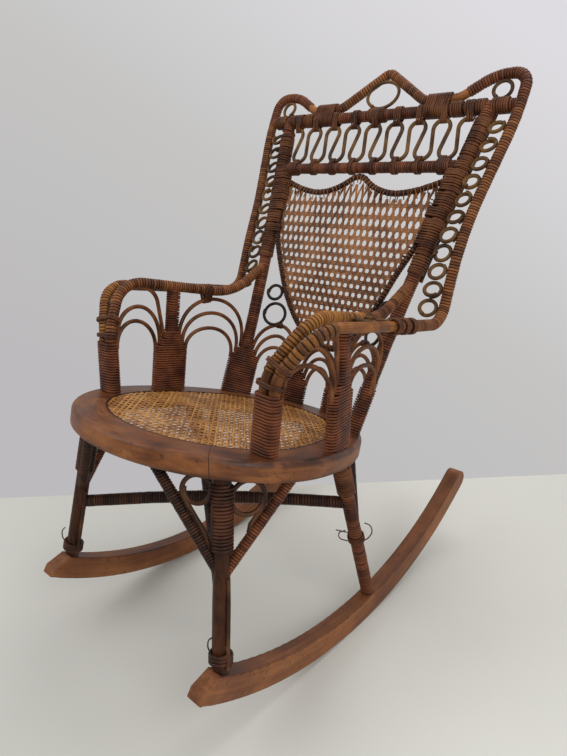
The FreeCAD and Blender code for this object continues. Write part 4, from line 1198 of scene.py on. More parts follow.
    def trim(self) -> None:
        """Curls, collars, splints and loose ends of cane."""
        braces = self.brace_lines()
        scrolls = [self.scroll(braces["front_brace"], 0.023, 0.085),
                   self.scroll(braces["side_brace"], 0.028, 0.04)]
        routes = [route.sided(side) for side in Side for route in scrolls]
        Bench.settle(Bench.reed(routes, self.scroll_radius, 8, 4), "underseat_scroll_reeds", REED_DARK,
                     "underseat_scrolls")
        foot, axis = self.front_line.points[0], self.front_line.axis
        belts = [Belt.ring(self.leg_radius + self.collar_lie)] * 3
        collar = coil(foot + axis * self.collar_height, axis, OUT, belts, self.collar_pitch, 0.1, 2)
        Bench.settle(Bench.reed(collar.both(), self.collar_radius, 8, 6), "foot_collar_cane", BINDING_DARK,
                     "foot_collars")
        for side in Side:
            Bench.dress(f"rocker_{side}", WOOD_ROCKER)
        splints = []
        for way in (-1.0, 1.0):
            lie = square_to(OUT, axis) * (way * (self.leg_radius + self.splint_lie))
            places = ((0.008, 0.94), (0.030, 1.0), (0.110, 1.0), (0.146, 0.9))
            splints += Route.rounded([foot + axis * reach + lie * share for reach, share in places]).both()
        piece = Bench.reed(splints, self.splint_radius, 8, 5)
        Bench.settle(piece, "leg_splint_reeds", REED_DARK, "leg_splints")
        self.loose_ends()

    def loose_ends(self) -> None:
        """Sprung cane at the front feet and where a rear brace meets its leg."""
        routes = []
        foot = self.front_line.points[0]
        bends = ((0.0, 0.0, 0.0), (0.008, -0.004, 0.010), (0.007, -0.003, 0.026), (-0.001, 0.0, 0.034))
        for side in Side:
            for way in (-1.0, 1.0):
                base = foot + OUT * (0.0145 * way) + UP * 0.02
                curl = [base + Vector((x * way, y, z)) for x, y, z in bends]
                routes.append(Route.rounded(curl).sided(side))
        joint = self.rear_line.near(lambda point: point.z, self.knot_height)
        axis = self.rear_line.axis
        belts = [Belt.ring(self.knot_radius)] * 5
        routes += coil(joint - axis * 0.006, axis, OUT, belts, self.knot_pitch, 0.5, 9).both()
        curls = [[(0.013, -0.005, 0.0), (0.024, 0.004, 0.005), (0.027, 0.014, 0.017), (0.019, 0.018, 0.026),
                  (0.008, 0.014, 0.028)],
                 [(-0.012, -0.010, -0.008), (-0.024, -0.020, -0.004), (-0.026, -0.022, 0.010),
                  (-0.016, -0.012, 0.014)],
                 [(-0.010, -0.012, 0.012), (-0.022, -0.018, 0.013), (-0.030, -0.024, 0.015)]]
        for curl in curls:
            routes.append(Route.rounded([joint + Vector(point) for point in curl]))
        Bench.settle(Bench.reed(routes, self.loose_radius, 6, 8), "loose_cane", BINDING_DARK)

    def build(self) -> None:
        """Builds the underframe."""
        for side in Side:
            self.legs(side)
        self.windings()
        self.stretchers()
        self.trim()


@dataclass
class Arms:
    """Rods of the arms and wings, with the windings and ties of the front posts."""

    rod_radius: float = ROD_RADIUS
    socket: float = 0.016
    post_x: float = 0.199
    post_y: float = -0.115
    rise: float = 0.119
    knee_run: float = 0.050
    post_cane: float = 0.0044
    post_pitch: float = 0.0049
    post_turns: int = 18
    tie_cane: float = 0.0040
    tie_pitch: float = 0.0045
    tie_heights: tuple[float, ...] = (0.106, 0.132)
    bow_ties: tuple[float, ...] = (0.398, 0.424, 0.446)
    arm_start: float = 0.20
    bare_inset: float = 0.0010
    wound_swell: float = 0.0008

    @property
    def spacing(self) -> float:
        """Distance between the two rods of a front post."""
        return 2 * (self.rod_radius + SLACK)

    @property
    def crest_v(self) -> float:
        """Height of the crest's low ends up the back."""
        return TOP_RAIL_V + RAIL_RADIUS + self.rod_radius + SLACK

    def post_line(self) -> tuple[Vector, Vector]:
        """Foot and knee of the left front post."""
        foot = STANCE.seat(self.post_x, self.post_y)
        return foot, foot + Vector((0.006, 0.009, self.rise))

    def post_ends(self, way: float) -> list[Vector]:
        """Socket, last straight point and knee of one rod of the left front post."""
        foot, knee = self.post_line()
        axis = (knee - foot).normalized()
        shift = OUT * (way * self.spacing / 2)
        return [foot + shift - axis * self.socket, knee + shift - axis * self.knee_run, knee + shift]

    def bow(self) -> Route:
        """The left rod of front post, outer arm, wing and scroll."""
        back = STANCE.back
        arm = [Vector((0.263, -0.196, 0.635)), Vector((0.264, 0.073, 0.590)), Vector((0.260, 0.152, 0.578))]
        wing = [back(0.260, 0.350), back(0.264, 0.435), back(0.294, 0.612), back(0.294, 0.696)]
        scroll = [back(0.234, 0.696), back(0.172, self.crest_v), back(CREST_JOINT, self.crest_v)]
        return Route.rounded([*self.post_ends(1.0), *arm, *wing, *scroll])

    def inner_rod(self) -> Route:
        """The left inner rod of front post and arm."""
        arm = [Vector((0.232, -0.181, 0.644)), Vector((0.186, 0.064, 0.591))]
        end_v = 0.292
        return Route.rounded([*self.post_ends(-1.0), *arm, STANCE.back(BackFrame().post_u(end_v), end_v)])

    def inner_arm(self) -> Route:
        """The left inner rod's arm, without its post."""
        inner = self.inner_rod()
        return inner.part(self.arm_start, inner.length)

    def inner_at(self, y: float) -> Vector:
        """The point of the left inner arm at a place from front to rear."""
        return self.inner_arm().near(lambda point: point.y, y)

    def tie_places(self) -> list[tuple[Vector, Vector, Vector]]:
        """Middles of the two rods and their direction at each tie of the left front post."""
        foot, _ = self.post_line()
        inner, outer = self.inner_rod().part(0.0, 0.21), self.bow().part(0.0, 0.21)
        places = []
        for height in self.tie_heights:
            reach = inner.reach_where(lambda point: point.z, foot.z + height)
            second = outer.near(lambda point: point.z, foot.z + height)
            places.append((inner.at(reach), second, inner.heading(reach)))
        return places

    def spans(self, route: Route, side: Side, outer: bool) -> list[tuple[float, float, float, WoundFinish]]:
        """Wound lengths of an arm rod.

        Args:
            route: The rod's middle line.
            side: Side of the chair.
            outer: The outer rod, or else the inner one.

        Returns:
            Start, end, width of a turn and finish of each length.
        """
        wing = route.reach_where(STANCE.up_back, 0.372)
        shoulder = route.reach_where(STANCE.up_back, 0.640)
        near = side is Side.LEFT
        start = 0.141 if near else 0.112
        if not outer:
            finish = WOUND_GOLD if near else WOUND_BROWN
            gold_end = 0.40 if near else 0.30
            return [(start, gold_end, 0.0058, finish), (gold_end, route.length, 0.0050, WOUND_BROWN)]
        dip = route.length - 0.055
        ends = [(wing, shoulder, 0.0050, WOUND_BROWN), (shoulder, dip, 0.0052, WOUND_RED)]
        if near:
            return [(start, 0.247, 0.0088, WOUND_GOLD), (0.452, wing, 0.0054, WOUND_BROWN), *ends]
        return [(start, 0.24, 0.0058, WOUND_GOLD), (0.24, wing, 0.0052, WOUND_BROWN), *ends]

    def rods(self, side: Side) -> None:
        """Makes the two rods of a side: a smooth reed, wound over parts of its length."""
        for name, route, outer in (("outer_bow", self.bow(), True), ("arm_rod", self.inner_rod(), False)):
            route = route.sided(side)
            bare = Bench.reed([route], self.rod_radius - self.bare_inset, 12, 20 + side.value)
            finish = REED_GOLD if outer else REED_BROWN
            Bench.settle(bare, f"{name}_{side}_reed", finish, f"{name}_{side}")
            for index, (start, end, pitch, finish) in enumerate(self.spans(route, side, outer)):
                radius = self.rod_radius + self.wound_swell
                rod = Bench.wound(route.part(start, end), radius, pitch, 40 + index, 14)
                Bench.settle(rod, f"{name}_{side}_cane_{index}", finish)

    def post_windings(self) -> None:
        """Winds the feet of the front posts and ties the rods above them."""
        foot, head = self.post_line()
        axis = (head - foot).normalized()
        radius = self.rod_radius + self.post_cane / 2
        lift = self.post_cane + radius * abs(axis.cross(OUT).dot(STANCE.seat_up)) - 2 * self.post_pitch
        belts = [Belt(radius, radius, self.spacing)] * (self.post_turns + 2)
        routes = coil(foot + axis * lift, axis, OUT, belts, self.post_pitch, 0.1, 12).both()
        Bench.settle(Bench.reed(routes, self.post_cane / 2, 8, 13), "front_post_cane", BINDING_RED,
                     "front_post_windings")
        ties = []
        tie_radius = self.rod_radius + 0.0007 + self.tie_cane / 2
        for first, second, heading in self.tie_places():
            belts = [Belt(tie_radius, tie_radius, (second - first).length)] * 2
            start = first.lerp(second, 0.5) - heading * self.tie_pitch
            ties += coil(start, heading, second - first, belts, self.tie_pitch, 0.2, 15).both()
        bow = self.bow()
        for reach in self.bow_ties:
            belts = [Belt.ring(tie_radius, 28)] * 3
            ties.append(coil(bow.at(reach), bow.heading(reach), UP, belts, self.tie_pitch, 0.3, 16))
        Bench.settle(Bench.reed(ties, self.tie_cane / 2, 8, 14), "cane_tie_strands", BINDING, "cane_ties")

    def build(self) -> None:
        """Builds both arms."""
        for side in Side:
            self.rods(side)
        self.post_windings()


@dataclass
class BackFrame:
    """Posts, rails and crest of the back with their bindings."""

    post_radius: float = 0.012
    rail_radius: float = RAIL_RADIUS
    rod_radius: float = ROD_RADIUS
    foot_u: float = 0.158
    bend_u: float = 0.172
    bend_v: float = 0.170
    waist_u: float = 0.203
    waist_v: float = 0.410
    top_u: float = 0.240
    top_rail_v: float = TOP_RAIL_V
    second_rail_v: float = 0.521
    crest_foot: float = 0.102
    crest_peak: float = 0.7285
    crest_tip: float = 0.027
    binding_cane: float = 0.0042
    binding_pitch: float = 0.0046
    post_bare: float = 0.10
    post_swell: float = 0.0012
    top_rail_half: float = 0.291
    wrap_turns: int = 11

    def post_u(self, v: float) -> float:
        """Half distance between the posts at a height."""
        if v < self.waist_v:
            share = (v - self.bend_v) / (self.waist_v - self.bend_v)
            return self.bend_u + (self.waist_u - self.bend_u) * share
        share = (v - self.waist_v) / (self.top_rail_v - self.waist_v)
        return self.waist_u + (self.top_u - self.waist_u) * share

    def post(self) -> Route:
        """Middle line of the left back post."""
        places = [(self.foot_u, 0.0), (self.bend_u, self.bend_v), (self.waist_u, self.waist_v),
                  (self.top_u, self.top_rail_v)]
        return Route.rounded([STANCE.back(*place) for place in places])

    def crest(self) -> Route:
        """Middle line of the crest rod."""
        v = Arms().crest_v
        share = self.crest_tip / math.hypot(self.crest_foot, self.crest_peak - v)
        tip = (self.crest_foot * share, self.crest_peak + (v - self.crest_peak) * share)
        places = mirrored([(CREST_JOINT, v), (self.crest_foot, v), tip, (0.0, self.crest_peak)])
        return Route.rounded([STANCE.back(*place) for place in places])

    def rods(self) -> None:
        """Winds posts, rails and crest."""
        for side in Side:
            route = self.post().sided(side)
            wound = route.part(self.post_bare, route.length)
            post = Bench.wound(wound, self.post_radius + self.post_swell, 0.0048, 50 + side.value, 14)
            Bench.settle(post, f"back_post_{side}_cane", WOUND_RED, f"back_post_{side}")
        for name, half, v, pitch, seed in (
                ("top_rail", self.top_rail_half, self.top_rail_v, 0.0050, 53),
                ("second_rail", self.post_u(self.second_rail_v), self.second_rail_v, 0.0046, 54)):
            line = Route((STANCE.back(-half, v), STANCE.back(half, v)))
            rail = Bench.wound(line, self.rail_radius + SLACK, pitch, seed, 14)
            Bench.settle(rail, name + "_cane", WOUND_RED, name)
        rod = Bench.wound(self.crest(), self.rod_radius + SLACK, 0.0058, 55, 12)
        Bench.settle(rod, "crest_rod_cane", WOUND_BROWN, "crest_rod")

    def crest_wraps(self) -> None:
        """Broad wraps that bind crest and bows to the top rail."""
        low = STANCE.back(CREST_JOINT, self.top_rail_v)
        high = STANCE.back(CREST_JOINT, Arms().crest_v)
        cane = self.binding_cane / 2
        belt = Belt(self.rail_radius + cane, self.rod_radius + cane, (high - low).length)
        start = low.lerp(high, 0.5) - OUT * (self.wrap_turns * self.binding_pitch / 2)
        routes = coil(start, OUT, high - low, [belt] * self.wrap_turns, self.binding_pitch, 0.15, 17).both()
        Bench.settle(Bench.reed(routes, cane, 8, 18), "crest_wrap_cane", BINDING, "crest_wraps")

    def rail_wraps(self) -> None:
        """Thick turns at the ends of the rails, at the crest's ring and at the posts' heads."""
        cane = self.binding_cane / 2
        ring = [Belt.ring(self.rail_radius + cane)]
        routes = []
        for v, places in ((self.top_rail_v, ((0.178, 5), (0.205, 4), (0.226, 4), (0.262, 7), (0.0, 8))),
                          (self.second_rail_v, ((0.186, 6),))):
            for u, turns in places:
                start = STANCE.back(u - turns * self.binding_pitch / 2, v)
                route = coil(start, OUT, STANCE.back_up, ring * turns, self.binding_pitch, 0.3, int(u * 1000))
                routes.append(route)
                if u:
                    routes.append(route.sided(Side.RIGHT))
        post = self.post()
        head = post.length - 0.055
        axis = post.heading(head)
        grip = [Belt.ring(self.post_radius + cane)]
        for side in Side:
            routes.append(coil(post.at(head), axis, OUT, grip * 5, 0.0062, 0.9, 3 + side.value).sided(side))
        Bench.settle(Bench.reed(routes, cane, 8, 19), "rail_wrap_cane", BINDING)

    def post_bindings(self) -> None:
        """Irregular bindings that hold the shield to the posts."""
        cane = self.binding_cane / 2
        shield_offset = self.post_radius + 0.006 + 0.0015
        routes = []
        rng = random.Random(21)
        for side in Side:
            v = 0.312
            while v < 0.590:
                turns = rng.choice((4, 5, 5, 6))
                above = v + 0.01
                axis = Route((STANCE.back(self.post_u(v), v), STANCE.back(self.post_u(above), above))).axis
                spread = shield_offset * (rng.uniform(0.55, 0.95) if 0.366 < v < 0.505 else 0.1)
                middle = STANCE.back(self.post_u(v) - spread / 2, v)
                radius = self.post_radius + cane
                belts = [Belt(radius, radius * rng.uniform(0.75, 0.95), spread)] * turns
                routes.append(coil(middle, axis, OUT * -1.0, belts, self.binding_pitch, 0.35,
                                   rng.randrange(999)).sided(side))
                v += turns * self.binding_pitch + rng.uniform(0.0005, 0.003)
        Bench.settle(Bench.reed(routes, cane, 8, 22), "post_binding_cane", BINDING)

    def build(self) -> None:
        """Builds the frame of the back."""
        self.rods()
        self.crest_wraps()
        self.rail_wraps()
        self.post_bindings()


@dataclass
class Ornament:
    """Reed serpentine, chains of rings, single rings and their ties."""

    reed: float = 0.004
    loops: int = 8
    loop_radius: float = 0.017
    chain_cane: float = 0.0072
    chain_pitch: float = 0.034
    chain_radius: float = 0.0185
    chain_lean: float = math.radians(16.0)
    wing_rings: int = 11
    wing_first_v: float = 0.254
    arm_rings: int = 4
    arm_first_y: float = -0.060
    spine_radius: float = 0.0035
    ring_cane: float = 0.0068
    room: float = 0.0007
    tie_cane: float = 0.0032
    tie_pitch: float = 0.0036

    def serpentine(self, back: BackFrame) -> None:
        """Bends the reed between the rails and ties its loops to them."""
        radius = self.loop_radius
        gap = back.rail_radius + self.reed + SLACK
        high = back.top_rail_v - gap - 0.0043 - radius
        low = back.second_rail_v + gap + radius
        half_run = back.post_u(low) - back.post_radius - 2 * self.reed
        pitch = 2 * half_run / self.loops
        slant = math.asin(2 * radius / math.hypot(pitch / 2, high - low))
        leave = math.atan2(low - high, pitch / 2) - slant + math.pi / 2
        points: list[Vector] = []

        def arc(u: float, v: float, start: float, end: float) -> None:
            count = max(3, math.ceil(abs(end - start) / 0.22))
            for index in range(count + 1):
                turn = start + (end - start) * index / count
                points.append(STANCE.back(u + radius * math.cos(turn), v + radius * math.sin(turn)))

        arc(-half_run, high, math.pi / 2, leave)
        for loop in range(self.loops):
            last = math.pi / 2 if loop == self.loops - 1 else leave
            arc((loop + 0.5) * pitch - half_run, low, leave - math.pi, -leave)
            arc((loop + 1) * pitch - half_run, high, math.pi - leave, last)
        Bench.settle(Bench.reed([Route(tuple(points))], self.reed, 10, 61), "serpentine_reed", REED_OLIVE,
                     "rail_serpentine")
        self.loop_ties(back, half_run, pitch, high + radius, low - radius)

    def loop_ties(self, back: BackFrame, half_run: float, pitch: float, high: float,
                  low: float) -> None:
        """Ties each loop of the serpentine to the rail that it touches.

        Args:
            back: Frame of the back, with its rails.
            half_run: Half length of the serpentine.
            pitch: Distance between loops.
            high: Height of the upper loops' reed.
            low: Height of the lower loops' reed.
        """
        cane = self.tie_cane / 2
        routes = []
        for index in range(2 * self.loops + 1):
            u = index * pitch / 2 - half_run
            rail_v, reed_v, turns = (back.top_rail_v, high, 4)
            if index % 2:
                rail_v, reed_v, turns = (back.second_rail_v, low, 3)
            rail, reed = STANCE.back(u, rail_v), STANCE.back(u, reed_v)
            belt = Belt(back.rail_radius + cane, self.reed + cane, (reed - rail).length, 26)
            start = rail.lerp(reed, 0.5) - OUT * (turns * self.tie_pitch / 2)
            routes.append(coil(start, OUT, reed - rail, [belt] * turns, self.tie_pitch, 0.25, 70 + index))
        Bench.settle(Bench.reed(routes, cane, 6, 62), "serpentine_tie_cane", BINDING)

    def chain(self, first: Route, first_radius: float, second: Route, second_radius: float, measure: Measure,
              values: Sequence[float], seed: int) -> list[Route]:
        """Open rings that fill the gap between two rods and lean over each other.

        Args:
            first, second: Middle lines of the rods.
            first_radius, second_radius: Radii of the rods.
            measure: Place along the rods.
            values: The rings' places.
            seed: Start of the rings' turning.

        Returns:
            The rings' routes.
        """
        rng = random.Random(seed)
        rings = []
        for value in values:
            here, there = first.near(measure, value), second.near(measure, value)
            across = (there - here).normalized()
            near, far = here + across * first_radius, there - across * second_radius
            ahead = first.near(measure, value + self.chain_pitch / 2) - here
            along = square_to(ahead, across)
            lean = self.chain_lean * rng.uniform(0.7, 1.3)
            normal = across.cross(along) * math.cos(lean) + along * math.sin(lean)
            radius = min((far - near).length / 2 - self.room, self.chain_radius)
            centre = far - across * (radius + self.room)
            rings.append(hoop(centre, normal, radius, self.chain_cane, rng.uniform(0, 6.28)))
        return rings

    def chains(self, back: BackFrame, arms: Arms) -> None:
        """Chains of rings in the wings and on the arms."""
        bow, post = arms.bow(), back.post()
        wing_part = bow.part(bow.reach_where(STANCE.up_back, 0.232), bow.reach_where(STANCE.up_back, 0.690))
        wing_values = [self.wing_first_v + index * self.chain_pitch for index in range(self.wing_rings)]
        arm_values = [self.arm_first_y + index * self.chain_pitch for index in range(self.arm_rings)]
        arm_bow = bow.part(arms.arm_start, bow.reach_where(STANCE.up_back, 0.345))
        rings = self.chain(post, back.post_radius, wing_part, arms.rod_radius, STANCE.up_back,
                           wing_values, 63)
        rings += self.chain(arms.inner_arm(), arms.rod_radius, arm_bow, arms.rod_radius,
                            lambda point: point.y, arm_values, 64)
        for side in Side:
            piece = Bench.reed([ring.sided(side) for ring in rings], self.chain_cane / 2, 8, 65)
            Bench.settle(piece, f"wing_chain_{side}_rings", REED_OLIVE, f"wing_chain_{side}")

    def spines(self, back: BackFrame) -> None:
        """Thin rods behind the rings of the wings."""
        lie = (back.post_radius + self.spine_radius + self.room) * math.sqrt(0.5)
        corners = [STANCE.back(back.post_u(v) + lie, v, lie) for v in (0.300, 0.410, 0.625)]
        for side, line in zip(Side, Route.rounded(corners).both()):
            piece = Bench.reed([line], self.spine_radius, 8, 66)
            Bench.settle(piece, f"wing_spine_{side}_reed", REED_DARK, f"wing_spine_{side}")

    def single_rings(self, back: BackFrame, arms: Arms, shield: "Shield") -> None:
        """Rings under the crest, in the top corners and beside the shield."""
        cane = self.ring_cane
        low = back.top_rail_v + back.rail_radius + SLACK
        bow = arms.bow().part(0.75, arms.bow().length)
        radius = (max(STANCE.up_back(point) for point in bow.points) - arms.rod_radius - self.room - low) / 2
        corner = hoop(STANCE.back(0.254, low + radius), STANCE.back_rearward, radius, cane, 3.6, 0.5)
        crest_radius = 0.0315
        centre = STANCE.back(0.0, low + crest_radius, -0.003)
        crest = hoop(centre, STANCE.back_rearward, crest_radius, cane, 3.6, 0.5)
        widened = [point + OUT * (point.x * 0.28) for point in crest.points]
        rings = [Route(tuple(widened)), *corner.both()]
        Bench.settle(Bench.reed(rings, cane / 2, 10, 67), "single_ring_reeds", REED_OLIVE, "ornament_rings")
        rings = []
        for v, radius in ((0.191, 0.0275), (0.237, 0.0195)):
            post = back.post().near(STANCE.up_back, v)
            edge = shield.side_line(True).near(STANCE.up_back, v)
            across = square_to(edge - post, STANCE.back_up)
            centre = post + across * (back.post_radius + 0.009 + radius)
            normal = across.cross(STANCE.back_up)
            rings += hoop(centre, normal, radius, cane, 1.2, 0.4).both()
        Bench.settle(Bench.reed(rings, cane / 2, 10, 68), "lower_ring_reeds", REED_BLACK, "ornament_rings")

    def build(self, back: BackFrame, arms: Arms, shield: "Shield") -> None:
        """Builds the reed ornament."""
        self.serpentine(back)
        self.chains(back, arms)
        self.spines(back)
        self.single_rings(back, arms, shield)


@dataclass
class Shield:
    """Shield of the back: wound frame, scalloped top and woven cane with its lacing."""

    bend_v: float = 0.370
    bend_radius: float = 0.445
    corner_v: float = 0.494
    frame_radius: float = 0.006
    post_gap: float = 0.0015
    row_top: float = 0.455
    column_pitch: float = 0.0150
    strand: float = 0.00135
    band: float = 0.0030
    band_rise: float = 0.0005
    slant_rise: float = 0.0007
    first_pitch: float = 0.0262
    least_pitch: float = 0.0166
    lacing_radius: float = 0.0012

    def swept(self, u: float, v: float, lift: float = 0.0) -> Vector:
        """A point of the shield's surface, swept rearwards below its bend line."""
        below = max(0.0, self.bend_v - v)
        return STANCE.back(u, v, self.bend_radius - math.sqrt(self.bend_radius ** 2 - below ** 2) - lift)

    def beside_post(self, v: float) -> float:
        """Half width of the shield where it lies against the posts."""
        return BackFrame().post_u(v) - BackFrame().post_radius - self.frame_radius - self.post_gap

    def side_line(self, bent: bool) -> Route:
        """Middle line of the shield's left side, bent or laid flat."""
        beside = [(self.beside_post(v), v) for v in (self.corner_v, self.bend_v)]
        places = mirrored([*beside, (0.152, 0.315), (0.112, 0.228), (0.066, 0.168), (0.0, 0.138)])
        make = self.swept if bent else STANCE.back
        return Route.rounded([make(u, v) for u, v in places])

    def top_line(self) -> Route:
        """Middle line of the scalloped top."""
        corner = (self.beside_post(self.corner_v), self.corner_v)
        places = mirrored([corner, (0.148, 0.474), (0.092, 0.464), (0.040, 0.478), (0.0, 0.510)])
        return Route.rounded([STANCE.back(u, v) for u, v in places])

    def outline(self) -> list[tuple[float, float]]:
        """The shield's outline, laid flat."""
        points = list(self.side_line(False).points) + list(reversed(self.top_line().points))
        return [(point.x, STANCE.up_back(point)) for point in points]

    def inside_test(self) -> Inside:
        """A test of places against the outline."""
        corners = np.array(self.outline())
        following = np.roll(corners, -1, axis=0)

        def inside(u: float, v: float) -> bool:
            across = (corners[:, 1] > v) != (following[:, 1] > v)
            run = np.where(across, following[:, 1] - corners[:, 1], 1.0)
            cut = corners[:, 0] + (v - corners[:, 1]) / run * (following[:, 0] - corners[:, 0])
            return bool(np.count_nonzero(across & (u < cut)) % 2)

        return inside

    def rows(self) -> list[float]:
        """Heights of the rows of holes, from the top down, closer from row to row."""
        heights = [self.row_top]
        pitch = self.first_pitch
        while heights[-1] > 0.15:
            heights.append(heights[-1] - pitch)
            pitch = max(self.least_pitch, pitch * 0.925)
        return heights

    def weave(self) -> None:
        """Weaves the cane: bands between the rows of holes and two slants that lean past the holes."""
        inside = self.inside_test()
        rows = self.rows()
        routes = []
        for index, (upper, lower) in enumerate(zip(rows, rows[1:])):
            for aside in (-self.band, 0.0, self.band):
                middle = (upper + lower) / 2 + aside
                for run in clipped_runs(inside, (0.0, middle), (1.0, 0.0), 0.24, self.column_pitch / 2):
                    points = []
                    for place, (u, v) in enumerate(run):
                        rise = self.band_rise if (place + index) % 2 else -self.band_rise
                        points.append(Vector((u, v, rise * STRETCH)))
                    routes.append(Route(tuple(points)))
        routes += self.slants(inside, rows)
        panel = Bench.strands(routes, self.strand, 81, self.swept)
        Bench.settle(panel, "back_weave", CANE_BACK, "back_cane")

    def slants(self, inside: Inside, rows: Sequence[float]) -> list[Route]:
        """Strands that run from row to row, half a column aside each time, on both slants.

        Args:
            inside: Test of places against the outline.
            rows: Heights of the rows of holes.

        Returns:
            The strands' routes.
        """
        heights = [rows[0] + 0.03, *rows, rows[-1] - 0.03]
        routes = []
        for way in (1, -1):
            for column in range(-40, 41):
                for aside in (-self.strand, self.strand):
                    runs: list[list[Vector]] = [[]]
                    for row, (upper, lower) in enumerate(zip(heights, heights[1:])):
                        for share in (0.0, 0.5):
                            v = upper + (lower - upper) * share
                            u = (column + 0.5 * way * (row + share)) * self.column_pitch + aside
                            over = (row * 2 + int(share * 2) + column) % 2
                            rise = self.slant_rise if over else -self.slant_rise
                            if inside(u, v):
                                runs[-1].append(Vector((u, v, rise * way * STRETCH)))
                            elif runs[-1]:
                                runs.append([])
                    routes += [Route(tuple(run)) for run in runs if len(run) > 2]
        return routes

    def lacing(self) -> None:
        """Short canes that lace the woven panel to its frame, each on its own slant."""
        rng = random.Random(83)
        routes = []
        for line in (self.side_line(True), self.top_line()):
            length = line.length
            reach = 0.006
            while reach < length - 0.006:
                point, along = line.at(reach), line.heading(reach)
                inward = square_to(self.swept(0.0, 0.35) - point, along)
                depth = along.cross(inward).normalized()
                stretch = rng.uniform(0.010, 0.020)
                shift = along * rng.uniform(-0.007, 0.007)
                wide = self.frame_radius + self.lacing_radius
                corners = [point - depth * wide, point - inward * wide, point + depth * wide,
                           point + inward * stretch + shift + depth * 0.001]
                routes.append(Route.rounded(corners, 0.4))
                reach += rng.uniform(0.006, 0.011)
        Bench.settle(Bench.reed(routes, self.lacing_radius, 4, 84), "shield_lacing", LACING)

    def build(self) -> None:
        """Builds the shield."""
        for line, pitch, seed, name, node in (
                (self.side_line(True), 0.0052, 85, "shield_frame_cane", "shield_frame"),
                (self.top_line(), 0.0058, 86, "shield_top_cane", "shield_top_rod")):
            rod = Bench.wound(line, self.frame_radius + SLACK, pitch, seed, 10)
            Bench.settle(rod, name, WOUND_DARK, node)
        self.weave()
        self.lacing()


@dataclass(frozen=True)
class Fan:
    """Place of a stepped fan of reeds on the rim."""

    foot: Vector
    axis: Vector
    across: Vector
    width: float
    turns: int


